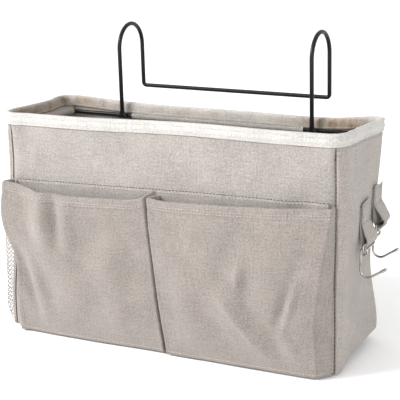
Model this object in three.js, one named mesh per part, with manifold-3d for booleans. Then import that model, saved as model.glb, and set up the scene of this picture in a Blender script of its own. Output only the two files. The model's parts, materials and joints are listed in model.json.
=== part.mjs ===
// A canvas caddy that hangs on a rail from a wire hanger: an open-topped bag stiffened by a wire hoop,
// two bellows pockets on its front, a mesh pocket on its left side, and two swinging hooks on its right.
// Millimetres. +X is to the right, +Y to the back (the rail side) and +Z up. The origin is on the
// underside of the base, under the middle of the rim.

import * as THREE from "three";
import { mergeVertices } from "three/addons/utils/BufferGeometryUtils.js";
import Module from "manifold-3d";

const wasm = await Module();
wasm.setup();

// ---- Driving dimensions ----

// Bag, over its rim binding
const width = 360;
const depth = 116;
const height = 220;
const cornerRadius = 16; // canvas corner, in plan
const baseTaper = 2; // each side, from rim to base
const frontLean = 10; // how far the base stands forward of the rim, in front
const backLean = 10; // and at the back
const seamAngle = 60; // degrees round a corner, where a side panel meets the front or back

// Cloth
const canvas = 1.6;
const gap = 0.3; // between pieces that touch
const tape = 1.2; // rim binding
const bindingHeight = 11.5;
const lining = 0.8; // wire casings and seam tapes
const casingSlack = 0.5; // casing off the wire it covers
const seamTapeWidth = 12;
const boardThickness = 2.5;
const boardClearance = 2;

// Wires
const wire = 4; // hoop and hanger
const hoopDrop = 16; // hoop centre below the rim
const casingDrop = 13; // casing's lower edge below the hoop centre
const rearCasingHalf = 97; // half length of the casing between the hangers
const hangerX = 104; // hanger centre from the middle
const railGap = 49; // riser to rear leg, centre to centre
const hangerTop = 78; // arch centreline above the rim
const crossbarRise = 8; // crossbar centreline above the rim
const crossbarBend = 5;
const weldReach = 5; // flare of the riser's foot along the hoop
const weldHeight = 5;
const weldRise = 0.5; // flare above the hoop's underside

// Front pockets
const pocketTop = 154;
const pocketBottom = 3;
const pocketInset = 10; // from the bag's side
const pocketDivide = -5; // seam between the two pockets
const pocketMouth = 22; // how far the mouth stands off the panel
const pocketFoot = 10;
const pocketCloth = 1.4;
const pocketRound = 9; // corner of a pocket in plan

// Mesh pocket
const meshTop = 124;
const meshBottom = 8;
const meshFront = 46; // its front edge, forward of the middle
const meshRear = 34; // its rear edge, behind the middle
const meshMouth = 18;
const meshFoot = 12;
const meshNet = 1.2;
const meshHemHeight = 8;
const meshHemThickness = 1.8;

// Side loops, their links and hooks
const loopWidth = 24;
const loopLength = 40;
const loopCloth = 1.6;
const loopRound = 5.4; // outer radius of the fold
const loopSewn = 19; // length of the part sewn flat
const loopEase = 0.3; // between its two layers where they part
const loops = [
  { name: "front", y: 0, fold: 112 },
  { name: "rear", y: 36, fold: 121 },
];
const hookWire = 2;
const linkDrop = 6.7; // link's upper bar to its lower bar
const linkFront = 6.5; // link past the front edge of its loop
const linkRear = 2.2; // link past the rear edge of its loop
const linkCorner = 2.4;
const eyeRadius = 3.2;
const eyeStart = -100; // degrees, where the eye's wire starts
const eyeTurn = 280; // degrees round the eye
const eyeSet = 3.3; // eye's plane in front of the loop's front edge
const hookReach = 21;
const hookDepth = 31; // eye to the corner that the bend rounds off
const hookRise = 16; // that corner to the tip
const hookBend = 7;
const shankLean = 0.4; // shank's foot inward of the eye

// ---- Looks ----

const finish = (color, roughness, metalness = 0) =>
  new THREE.MeshStandardMaterial({ color, roughness, metalness });
const canvasLook = finish(0xd5cec8, 0.95);
const pocketLook = finish(0xbdb4ad, 0.95);
const liningLook = finish(0xb9ada0, 0.95);
const tapeLook = finish(0xe6e2dc, 0.9);
const netLook = finish(0xcfc8c0, 0.8);
const boardLook = finish(0xa89f94, 0.9);
const blackWireLook = finish(0x181818, 0.45, 0.4);
const nickelLook = finish(0xb8b4ac, 0.25, 1);

// ---- Mesh helpers ----

const rad = THREE.MathUtils.degToRad;

function volumeOf(points, faces) {
  let sum = 0;
  for (const [a, b, c] of faces) {
    sum += points[a].dot(new THREE.Vector3().crossVectors(points[b], points[c]));
  }
  return sum / 6;
}

function closedGeometry(points, faces) {
  const outward = volumeOf(points, faces) > 0;
  const index = faces.flatMap(([a, b, c]) => (outward ? [a, b, c] : [a, c, b]));
  const geometry = new THREE.BufferGeometry().setFromPoints(points);
  geometry.setIndex(index);
  return geometry;
}

// A solid through closed rings of points. Each ring has the same count; capOutline is a ring in 2D.
function loft(rings, capOutline) {
  const count = rings[0].length;
  const closed = !capOutline;
  const points = rings.flat();
  const faces = [];
  const spans = closed ? rings.length : rings.length - 1;
  for (let i = 0; i < spans; i++) {
    const here = i * count;
    const next = ((i + 1) % rings.length) * count;
    for (let j = 0; j < count; j++) {
      const k = (j + 1) % count;
      faces.push([here + j, here + k, next + k], [here + j, next + k, next + j]);
    }
  }
  if (!closed) {
    const last = (rings.length - 1) * count;
    const ringTurn = Math.sign(THREE.ShapeUtils.area(capOutline));
    for (const [a, b, c] of THREE.ShapeUtils.triangulateShape(capOutline, [])) {
      const turn = Math.sign(THREE.ShapeUtils.area([capOutline[a], capOutline[b], capOutline[c]]));
      const [p, q, r] = turn === ringTurn ? [a, b, c] : [a, c, b];
      faces.push([p, r, q], [last + p, last + q, last + r]);
    }
  }
  return closedGeometry(points, faces);
}

function solidOf(geometry) {
  const bare = geometry.clone();
  bare.deleteAttribute("normal");
  bare.deleteAttribute("uv");
  const merged = mergeVertices(bare, 1e-4);
  const vertProperties = Float32Array.from(merged.attributes.position.array);
  const triVerts = Uint32Array.from(merged.index.array);
  return new wasm.Manifold(new wasm.Mesh({ numProp: 3, vertProperties, triVerts }));
}

function geometryOf(solid) {
  const { vertProperties, triVerts } = solid.getMesh();
  const geometry = new THREE.BufferGeometry();
  geometry.setAttribute("position", new THREE.BufferAttribute(vertProperties, 3));
  geometry.setIndex(new THREE.BufferAttribute(triVerts, 1));
  return geometry;
}

// A curve whose even steps are its own points, so a tube bends only where a wire does.
class Route extends THREE.Curve {
  constructor(points) {
    super();
    this.points = points;
  }

  getPoint(t, target = new THREE.Vector3()) {
    const at = t * (this.points.length - 1);
    const i = Math.min(Math.floor(at), this.points.length - 2);
    return target.lerpVectors(this.points[i], this.points[i + 1], at - i);
  }

  getPointAt(u, target) {
    return this.getPoint(u, target);
  }

  getTangentAt(u, target = new THREE.Vector3()) {
    const i = Math.round(u * (this.points.length - 1));
    const before = this.points[Math.max(i - 1, 0)];
    const after = this.points[Math.min(i + 1, this.points.length - 1)];
    return target.subVectors(after, before).normalize();
  }
}

function tube(points, diameter, sides) {
  const section = new THREE.Shape();
  for (let i = 0; i < sides; i++) {
    const angle = (2 * Math.PI * (i + 0.5)) / sides;
    const place = [(diameter / 2) * Math.cos(angle), (diameter / 2) * Math.sin(angle)];
    if (i === 0) {
      section.moveTo(...place);
    } else {
      section.lineTo(...place);
    }
  }
  section.closePath();
  const extrudePath = new Route(points);
  return new THREE.ExtrudeGeometry(section, { steps: points.length - 1, extrudePath });
}

// A line through corners, each rounded to the radius, with an arc point about every turn degrees.
function rounded(corners, radius, turn = 15) {
  const route = [corners[0].clone()];
  for (let i = 1; i < corners.length - 1; i++) {
    const back = corners[i - 1].clone().sub(corners[i]).normalize();
    const on = corners[i + 1].clone().sub(corners[i]).normalize();
    const half = back.angleTo(on) / 2;
    const middle = back.clone().add(on).normalize();
    const centre = corners[i].clone().addScaledVector(middle, radius / Math.sin(half));
    const start = corners[i].clone().addScaledVector(back, radius / Math.tan(half)).sub(centre);
    const end = corners[i].clone().addScaledVector(on, radius / Math.tan(half)).sub(centre);
    const sweep = start.angleTo(end);
    const axis = new THREE.Vector3().crossVectors(start, end).normalize();
    const steps = Math.max(2, Math.round(sweep / rad(turn)));
    for (let k = 0; k <= steps; k++) {
      route.push(start.clone().applyAxisAngle(axis, (sweep * k) / steps).add(centre));
    }
  }
  route.push(corners.at(-1).clone());
  return route;
}

const model = new THREE.Group();

function add(name, geometry, material, parent = model) {
  const mesh = new THREE.Mesh(geometry, material);
  mesh.name = name;
  parent.add(mesh);
  return mesh;
}

// ---- The bag's wall, in plan and height ----

const halfWidth = width / 2 - tape - gap; // canvas, at the rim
const halfDepth = depth / 2 - tape - gap;
const baseHalfWidth = halfWidth - baseTaper;
const wallTop = height - tape - gap;

const level = (z) => z / height;
const sideX = (z) => THREE.MathUtils.lerp(baseHalfWidth, halfWidth, level(z));
const frontY = (z) => -halfDepth - frontLean * (1 - level(z));
const backY = (z) => halfDepth - backLean * (1 - level(z));

// A point on the canvas's outer face at one corner angle: 0 is +X, and 90 is +Y.
function cornerPoint(angle, quarter, z, inset) {
  const signX = quarter === 0 || quarter === 3 ? 1 : -1;
  const signY = quarter === 0 || quarter === 1 ? 1 : -1;
  const centreX = signX * (sideX(z) - cornerRadius);
  const centreY = signY > 0 ? backY(z) - cornerRadius : frontY(z) + cornerRadius;
  const reach = cornerRadius - inset;
  const turn = rad(angle);
  return new THREE.Vector3(centreX + reach * Math.cos(turn), centreY + reach * Math.sin(turn), z);
}

const cornerStep = 15;

// Stations round the bag from one angle to another, counted through the corners: quarter 0 is
// 0 to 90 degrees (back right), 1 is back left, 2 is front left and 3 is front right.
function stations(from, to) {
  const list = [];
  let quarter = Math.floor(from / 90);
  let angle = from;
  while (angle < to - 1e-6) {
    const end = Math.min(to, 90 * (quarter + 1));
    const steps = Math.max(1, Math.ceil((end - angle) / cornerStep - 1e-6));
    for (let i = 0; i <= steps; i++) {
      list.push({ angle: angle + ((end - angle) * i) / steps, quarter: ((quarter % 4) + 4) % 4 });
    }
    angle = end;
    quarter += 1;
  }
  return list;
}

// A strip along the wall: profile is its section as [inset from the canvas's face, z].
function strip(list, profile, closed = false) {
  const rings = list.map(({ angle, quarter }) =>
    profile.map(([inset, z]) => cornerPoint(angle, quarter, z, inset)),
  );
  const outline = profile.map(([inset, z]) => new THREE.Vector2(inset, z));
  return loft(rings, closed ? null : outline);
}

const seamGap = (gap / 2 / cornerRadius) * THREE.MathUtils.RAD2DEG;
const wallProfile = [
  [0, 0],
  [0, wallTop],
  [canvas, wallTop],
  [canvas, 0],
];

function panel(name, from, to) {
  add(name, strip(stations(from + seamGap, to - seamGap), wallProfile), canvasLook);
}

panel("right_side_panel", -seamAngle, seamAngle);
panel("back_panel", seamAngle, 180 - seamAngle);
panel("left_side_panel", 180 - seamAngle, 180 + seamAngle);
panel("front_panel", 180 + seamAngle, 360 - seamAngle);

// ---- Base ----

function plateShape(z, inset) {
  const outline = stations(0, 360).map(({ angle, quarter }) => cornerPoint(angle, quarter, z, inset));
  return new THREE.Shape(outline.map((p) => new THREE.Vector2(p.x, p.y)));
}

function plate(name, z, thickness, inset, material) {
  const shape = plateShape(z, inset);
  const geometry = new THREE.ExtrudeGeometry(shape, { depth: thickness, bevelEnabled: false });
  add(name, geometry, material).position.z = z;
}

const baseInset = canvas + gap;
const boardZ = canvas + gap;
const boardInset = baseInset + lining + boardClearance;
plate("base_panel", 0, canvas, baseInset, canvasLook);
plate("base_board", boardZ, boardThickness, boardInset, boardLook);

// ---- Rim binding ----

const bindingBottom = height - bindingHeight;
const innerLeg = canvas + gap;
const bindingProfile = [
  [-gap - tape, bindingBottom],
  [-gap - tape, height],
  [innerLeg + tape, height],
  [innerLeg + tape, bindingBottom],
  [innerLeg, bindingBottom],
  [innerLeg, height - tape],
  [-gap, height - tape],
  [-gap, bindingBottom],
];
add("rim_binding", strip(stations(0, 360), bindingProfile, true), tapeLook);

// ---- Wire hoop and its casings ----

const hoopZ = height - hoopDrop;
const hoopInset = canvas + gap + wire / 2;
const hoopEnd = gap / 2; // the butt joint, inside the rear casing
const hoopBack = backY(hoopZ) - hoopInset;
const hoopRoute = [
  new THREE.Vector3(-hoopEnd, hoopBack, hoopZ),
  ...stations(90, 450).map(({ angle, quarter }) => cornerPoint(angle, quarter, hoopZ, hoopInset)),
  new THREE.Vector3(hoopEnd, hoopBack, hoopZ),
];
add("rim_hoop", tube(hoopRoute, wire, 10), blackWireLook);

// The casing is a strip sewn above and below the hoop, rounded over it.
function casingProfile() {
  const near = wire / 2 + casingSlack;
  const bulge = [75, 40, 0, -40, -75];
  const over = (reach) =>
    bulge.map((angle) => [
      hoopInset + reach * Math.cos(rad(angle)),
      hoopZ + reach * Math.sin(rad(angle)),
    ]);
  const top = bindingBottom - gap;
  const bottom = hoopZ - casingDrop;
  const skirt = hoopZ - 2 * near - lining;
  const wallSide = [[innerLeg, top], ...over(near), [innerLeg, skirt], [innerLeg, bottom]];
  const openSide = [
    [innerLeg + lining, bottom],
    [innerLeg + lining, skirt],
    ...over(near + lining).reverse(),
    [innerLeg + lining, top],
  ];
  return [...wallSide, ...openSide];
}

const rearWindowAngle = 62; // where the front casing stops on a back corner
const frontCasingStations = stations(180 - rearWindowAngle, 360 + rearWindowAngle);
add("front_casing", strip(frontCasingStations, casingProfile()), liningLook);

const rearRings = [-rearCasingHalf, rearCasingHalf].map((x) =>
  casingProfile().map(([inset, z]) => new THREE.Vector3(x, backY(z) - inset, z)),
);
const casingOutline = casingProfile().map(([inset, z]) => new THREE.Vector2(inset, z));
add("rear_casing", loft(rearRings, casingOutline), liningLook);

// ---- Seam tapes inside the four corners ----

const seamTapeTop = hoopZ - casingDrop - gap;
const seamTapeBottom = boardZ + boardThickness + gap;
const seamTapeProfile = [
  [innerLeg, seamTapeBottom],
  [innerLeg, seamTapeTop],
  [innerLeg + lining, seamTapeTop],
  [innerLeg + lining, seamTapeBottom],
];
const seamTapeHalf = (seamTapeWidth / 2 / (cornerRadius - innerLeg)) * THREE.MathUtils.RAD2DEG;
const seams = {
  right_rear: seamAngle,
  left_rear: 180 - seamAngle,
  left_front: 180 + seamAngle,
  right_front: 360 - seamAngle,
};
for (const [corner, angle] of Object.entries(seams)) {
  const low = Math.max(angle - seamTapeHalf, 90 * Math.floor(angle / 90));
  const high = Math.min(angle + seamTapeHalf, 90 * Math.ceil(angle / 90));
  add(`${corner}_seam_tape`, strip(stations(low, high), seamTapeProfile), liningLook);
}

// ---- Hanger: two hooks over the rail, joined by a crossbar ----

const riserY = hoopBack - wire - gap;
const legY = riserY + railGap;
const archTop = height + hangerTop;
const crossbarZ = height + crossbarRise;
const footZ = hoopZ - wire / 2;

const archRadius = railGap / 2;
const legEnd = crossbarZ + crossbarBend;

// Each hook is the riser, a half circle and the rear leg, which stops where the crossbar's bend starts.
function hookRoute(x) {
  const route = [new THREE.Vector3(x, riserY, footZ)];
  const steps = 12;
  for (let i = 0; i <= steps; i++) {
    const angle = Math.PI * (1 - i / steps);
    const y = riserY + archRadius * (1 + Math.cos(angle));
    route.push(new THREE.Vector3(x, y, archTop - archRadius + archRadius * Math.sin(angle)));
  }
  route.push(new THREE.Vector3(x, legY, legEnd));
  return route;
}

const crossbar = rounded(
  [
    new THREE.Vector3(-hangerX, legY, legEnd + crossbarBend),
    new THREE.Vector3(-hangerX, legY, crossbarZ),
    new THREE.Vector3(hangerX, legY, crossbarZ),
    new THREE.Vector3(hangerX, legY, legEnd + crossbarBend),
  ],
  crossbarBend,
).slice(1, -1);
const hangerRoute = [
  ...hookRoute(-hangerX).slice(0, -1),
  ...crossbar,
  ...hookRoute(hangerX).slice(0, -1).reverse(),
];

// The riser's foot flares where it is welded to the hoop.
function weld(x) {
  const outline = new THREE.Shape();
  outline.moveTo(-weldReach, 0);
  outline.lineTo(weldReach, 0);
  outline.quadraticCurveTo(wire / 2, 0, wire / 2, weldHeight + wire);
  outline.lineTo(-wire / 2, weldHeight + wire);
  outline.quadraticCurveTo(-wire / 2, 0, -weldReach, 0);
  const thickness = wire / 2;
  const flare = new THREE.ExtrudeGeometry(outline, {
    depth: thickness,
    bevelEnabled: false,
    curveSegments: 5,
  });
  flare.rotateX(Math.PI / 2);
  flare.translate(x, riserY + wire / 2, footZ + weldRise);
  return solidOf(flare);
}

const hanger = [-hangerX, hangerX].reduce(
  (body, x) => body.add(weld(x)),
  solidOf(tube(hangerRoute, wire, 10)),
);
add("wire_hanger", geometryOf(hanger), blackWireLook);

// ---- Front pockets ----

// Half of a pocket's outline in plan, as a D against a wall: along is across the wall and out is off it.
function pouchOutline(low, high, out, round, back, inset) {
  const corner = Math.min(round, out - Math.max(back, 0) - gap);
  const points = [[low + inset, back]];
  for (const [centre, from] of [
    [low + corner, 180],
    [high - corner, 90],
  ]) {
    for (let i = 0; i <= 4; i++) {
      const turn = rad(from - (90 * i) / 4);
      const reach = corner - inset;
      points.push([centre + reach * Math.cos(turn), out - corner + reach * Math.sin(turn)]);
    }
  }
  points.push([high - inset, back]);
  return points;
}

// An open-topped pouch: a solid D lofted up the wall, less a smaller one that breaks out of its top
// and its back.
function pouch({ low, high, bottom, top, foot, mouth, round, cloth, place, layers = 5 }) {
  const solid = (inset, from, to, back) => {
    const rings = [];
    let cap;
    for (let i = 0; i <= layers; i++) {
      const z = THREE.MathUtils.lerp(from, to, i / layers);
      const share = (z - bottom) / (top - bottom);
      const out = THREE.MathUtils.lerp(foot, mouth, Math.sin((share * Math.PI) / 2));
      const outline = pouchOutline(low(z), high(z), out, round, back, inset);
      rings.push(outline.map(([along, off]) => place(along, off, z)));
      cap = cap ?? rings[0].map((p) => new THREE.Vector2(p.x, p.y));
    }
    return solidOf(loft(rings, cap));
  };
  const outer = solid(0, bottom, top, gap);
  const inner = solid(cloth, bottom + cloth, top + cloth, -cloth);
  return geometryOf(outer.subtract(inner));
}

const pockets = {
  left: [(z) => -sideX(z) + pocketInset, () => pocketDivide - gap],
  right: [() => pocketDivide + gap, (z) => sideX(z) - pocketInset],
};
for (const [side, [low, high]] of Object.entries(pockets)) {
  const geometry = pouch({
    low,
    high,
    bottom: pocketBottom,
    top: pocketTop,
    foot: pocketFoot,
    mouth: pocketMouth,
    round: pocketRound,
    cloth: pocketCloth,
    place: (along, off, z) => new THREE.Vector3(along, frontY(z) - off, z),
  });
  add(`${side}_pocket`, geometry, pocketLook);
}

// ---- Mesh pocket on the left side, with a hem round its mouth ----

const meshPlace = (along, off, z) => new THREE.Vector3(-sideX(z) - off, along, z);
const mesh = {
  low: () => -meshFront,
  high: () => meshRear,
  bottom: meshBottom,
  top: meshTop,
  foot: meshFoot,
  mouth: meshMouth,
  round: pocketRound,
  cloth: meshNet,
  place: meshPlace,
};
add("mesh_pocket", pouch(mesh), netLook);

function hemRing(z) {
  const extra = meshHemThickness - meshNet;
  const face = (inset) =>
    pouchOutline(-meshFront, meshRear, meshMouth + extra, pocketRound, gap, inset);
  const outline = [...face(0), ...face(meshHemThickness).reverse()];
  return outline.map(([along, off]) => meshPlace(along, off, z));
}

const hemBottom = meshTop + gap;
const hemRings = [hemRing(hemBottom), hemRing(hemBottom + meshHemHeight)];
const hemCap = hemRings[0].map((p) => new THREE.Vector2(p.x, p.y));
add("mesh_pocket_hem", loft(hemRings, hemCap), tapeLook);

// ---- Side loops, links and hooks ----

// A loop's section off the wall: x is from the wall and y is up from the fold.
function loopShape() {
  const centre = gap + loopRound;
  const inner = loopRound - loopCloth;
  const sewnFrom = loopLength - loopSewn;
  const outline = new THREE.Shape();
  outline.moveTo(gap, loopLength);
  outline.lineTo(gap, loopRound);
  outline.absarc(centre, loopRound, loopRound, Math.PI, 2 * Math.PI, false);
  outline.lineTo(gap + 2 * loopCloth, sewnFrom);
  outline.lineTo(gap + 2 * loopCloth, loopLength);
  outline.closePath();
  const tunnel = new THREE.Path();
  tunnel.moveTo(centre - inner, loopRound);
  tunnel.absarc(centre, loopRound, inner, Math.PI, 2 * Math.PI, false);
  tunnel.lineTo(gap + loopCloth + loopEase, sewnFrom - loopCloth);
  tunnel.lineTo(centre - inner, sewnFrom - 2 * loopCloth);
  tunnel.closePath();
  outline.holes.push(tunnel);
  return outline;
}

function loopGeometry() {
  const settings = { depth: loopWidth, bevelEnabled: false, curveSegments: 8 };
  const geometry = new THREE.ExtrudeGeometry(loopShape(), settings);
  geometry.rotateX(Math.PI / 2);
  geometry.translate(0, loopWidth / 2, 0);
  return geometry;
}

const barX = gap + loopRound;
const upperBarZ = loopCloth + hookWire / 2 + gap;
const lowerBarZ = upperBarZ - linkDrop;
const linkLow = -loopWidth / 2 - linkFront;
const linkHigh = loopWidth / 2 + linkRear;
const eyeY = -loopWidth / 2 - eyeSet;

// The link is a closed rectangle of wire, whose ends butt in the middle of its upper bar.
function linkRoute() {
  const corners = [
    [gap / 2, upperBarZ],
    [linkHigh, upperBarZ],
    [linkHigh, lowerBarZ],
    [linkLow, lowerBarZ],
    [linkLow, upperBarZ],
    [-gap / 2, upperBarZ],
  ].map(([y, z]) => new THREE.Vector3(barX, y, z));
  return rounded(corners, linkCorner, 22.5);
}

// The hook starts as an eye round the link's lower bar, then runs down, round its bend and out.
function swingingHookRoute() {
  const eye = [];
  const steps = 14;
  for (let i = 0; i < steps; i++) {
    const angle = rad(eyeStart + (eyeTurn * i) / steps);
    eye.push(new THREE.Vector3(eyeRadius * Math.cos(angle), 0, eyeRadius * Math.sin(angle)));
  }
  const arm = rounded(
    [
      new THREE.Vector3(-eyeRadius, 0, 0),
      new THREE.Vector3(-eyeRadius - shankLean, 0, -hookDepth),
      new THREE.Vector3(hookReach, 0, hookRise - hookDepth),
    ],
    hookBend,
  );
  const route = [...eye, ...arm];
  return route.map((p) => p.add(new THREE.Vector3(barX, eyeY, lowerBarZ)));
}

for (const { name, y, fold } of loops) {
  const place = new THREE.Group();
  place.position.set(sideX(fold + loopLength), y, fold);
  model.add(place);
  add(`${name}_side_loop`, loopGeometry(), canvasLook, place);
  add(`${name}_link`, tube(linkRoute(), hookWire, 8), nickelLook, place);
  add(`${name}_hook`, tube(swingingHookRoute(), hookWire, 8), nickelLook, place);
}

export default model;
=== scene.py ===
import json
import math

import bmesh
import bpy
import numpy as np
from mathutils import Matrix, Vector


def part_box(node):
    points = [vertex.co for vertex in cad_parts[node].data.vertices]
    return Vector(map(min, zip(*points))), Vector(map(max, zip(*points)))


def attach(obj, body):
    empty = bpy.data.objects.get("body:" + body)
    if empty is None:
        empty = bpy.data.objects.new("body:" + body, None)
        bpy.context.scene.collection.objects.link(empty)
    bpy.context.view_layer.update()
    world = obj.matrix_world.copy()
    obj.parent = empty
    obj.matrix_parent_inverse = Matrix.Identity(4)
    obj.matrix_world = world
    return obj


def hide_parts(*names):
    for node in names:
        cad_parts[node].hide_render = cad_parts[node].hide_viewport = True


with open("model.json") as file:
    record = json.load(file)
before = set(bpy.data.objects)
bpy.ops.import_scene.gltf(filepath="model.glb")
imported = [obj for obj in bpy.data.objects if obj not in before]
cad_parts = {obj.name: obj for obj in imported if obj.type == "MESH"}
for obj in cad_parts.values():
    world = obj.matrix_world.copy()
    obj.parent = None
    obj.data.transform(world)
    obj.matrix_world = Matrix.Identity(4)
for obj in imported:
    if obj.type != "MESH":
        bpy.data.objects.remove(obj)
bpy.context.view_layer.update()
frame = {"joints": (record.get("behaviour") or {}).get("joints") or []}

MM = 0.001

# ---- Camera ----

CAMERA_AZIMUTH = math.radians(26.76)
CAMERA_ELEVATION = math.radians(16.19)
CAMERA_ROLL = math.radians(-1.62)
CAMERA_DISTANCE = 1.23527
CAMERA_TARGET = Vector((0.00591, 0.0, 0.13583))
LENS = 111.2


def make_camera():
    data = bpy.data.cameras.new("camera")
    data.sensor_width = 36
    data.lens = LENS
    data.clip_start, data.clip_end = 0.05, 50
    camera = bpy.data.objects.new("camera", data)
    bpy.context.scene.collection.objects.link(camera)
    level = math.cos(CAMERA_ELEVATION)
    back = Vector(
        (
            math.sin(CAMERA_AZIMUTH) * level,
            -math.cos(CAMERA_AZIMUTH) * level,
            math.sin(CAMERA_ELEVATION),
        )
    )
    right = (-back).cross(Vector((0, 0, 1))).normalized()
    up = right.cross(-back)
    turned = math.cos(CAMERA_ROLL) * right + math.sin(CAMERA_ROLL) * up
    axes = Matrix((turned, back.cross(turned), back)).transposed().to_4x4()
    camera.matrix_world = Matrix.Translation(CAMERA_TARGET + back * CAMERA_DISTANCE) @ axes
    bpy.context.scene.camera = camera


make_camera()

# ---- Sizes, from the frame ----

CANVAS = 1.6 * MM
POCKET_CLOTH = 1.3 * MM
LINING = 0.8 * MM
TAPE = 1.1 * MM
WIRE = 2 * MM  # radius of the hanger's wire
THIN_WIRE = 1 * MM  # radius of the hooks' and links' wire

rim_low, rim_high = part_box("rim_binding")
side_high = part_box("right_side_panel")[1]
base_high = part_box("base_panel")[1]
front_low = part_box("front_panel")[0]
board_low, board_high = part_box("base_board")
hanger_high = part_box("wire_hanger")[1]
hoop_low, hoop_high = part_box("rim_hoop")
rear_casing_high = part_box("rear_casing")[1]
hem_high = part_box("mesh_pocket_hem")[1]

TOP = rim_high.z
PROUD = rim_high.x - side_high.x  # binding beyond the canvas
SEAM_INSET = 1.9 * MM  # wall to what lies inside it
HALF_WIDTH = side_high.x, base_high.x + SEAM_INSET  # rim, base
FRONT = rim_low.y + PROUD, front_low.y
BACK = rim_high.y - PROUD, base_high.y + SEAM_INSET
RIM_CORNER, BASE_CORNER = 16 * MM, 9 * MM
HOOP_Z = (hoop_low.z + hoop_high.z) / 2
HOOP_INSET = HALF_WIDTH[0] - hoop_high.x + WIRE

rng = np.random.default_rng(7)


# ---- Finishes ----


class Value:
    """A number that varies over a surface. Python's operators add Math nodes."""

    def __init__(self, finish, socket):
        self.finish = finish
        self.socket = socket

    def math(self, operation, *others):
        inputs = dict(enumerate((self, *others)))
        return self.finish.node("ShaderNodeMath", {"operation": operation}, inputs)

    def __add__(self, other):
        return self.math("ADD", other)

    def __sub__(self, other):
        return self.math("SUBTRACT", other)

    def __mul__(self, other):
        return self.math("MULTIPLY", other)

    def __rsub__(self, other):
        return self * -1 + other

    __radd__ = __add__
    __rmul__ = __mul__

    def wave(self, length):
        """From -1 to 1 and back once in every two lengths."""
        return (self * (math.pi / length)).math("SINE")

    def size(self):
        return self.math("ABSOLUTE")

    def clamped(self):
        return self.math("MAXIMUM", 0).math("MINIMUM", 1)


class Finish:
    """A material whose nodes are added one by one; constants are set on its shader."""

    def __init__(self, name, **constants):
        self.material = bpy.data.materials.new(name)
        self.material.use_nodes = True
        self.tree = self.material.node_tree
        self.shader = self.tree.nodes["Principled BSDF"]
        for socket, value in constants.items():
            self.shader.inputs[socket.replace("_", " ")].default_value = value

    def node(self, kind, settings=(), inputs=(), output=0):
        made = self.tree.nodes.new(kind)
        for name, value in dict(settings).items():
            if name == "stops":
                ramp = made.color_ramp.elements
                while len(ramp) < len(value):
                    ramp.new(0.5)
                for stop, (place, colour) in zip(ramp, value):
                    stop.position, stop.color = place, colour
            else:
                setattr(made, name, value)
        for name, value in dict(inputs).items():
            if isinstance(value, Value):
                self.tree.links.new(value.socket, made.inputs[name])
            else:
                made.inputs[name].default_value = value
        return Value(self, made.outputs[output])

    def drive(self, socket, value):
        self.tree.links.new(value.socket, self.shader.inputs[socket])

    def place(self, output="UV"):
        return self.node("ShaderNodeTexCoord", output=output)

    def stretched(self, vector, x, y, z=1.0):
        return self.node("ShaderNodeMapping", {}, {"Vector": vector, "Scale": (x, y, z)})

    def noise(self, vector, scale, detail=2.0, roughness=0.5):
        inputs = {"Vector": vector, "Scale": scale, "Detail": detail, "Roughness": roughness}
        return self.node("ShaderNodeTexNoise", {}, inputs)

    def mix(self, factor, a, b, mode="MIX"):
        """Colours a and b, mixed."""
        settings = {"data_type": "RGBA", "blend_type": mode}
        return self.node("ShaderNodeMix", settings, {0: factor, 6: a, 7: b}, output=2)

    def bump(self, height, distance, strength=1.0):
        inputs = {"Height": height, "Distance": distance, "Strength": strength}
        self.drive("Normal", self.node("ShaderNodeBump", {}, inputs))

    def across(self, vector):
        """The two coordinates of a surface, in metres."""
        split = self.tree.nodes.new("ShaderNodeSeparateXYZ")
        self.tree.links.new(vector.socket, split.inputs[0])
        return Value(self, split.outputs[0]), Value(self, split.outputs[1])


def shade(colour, amount):
    return (*[min(1.0, c * amount) for c in colour], 1.0)


STAIN_COLOUR = (0.50, 0.36, 0.24, 1.0)


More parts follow.
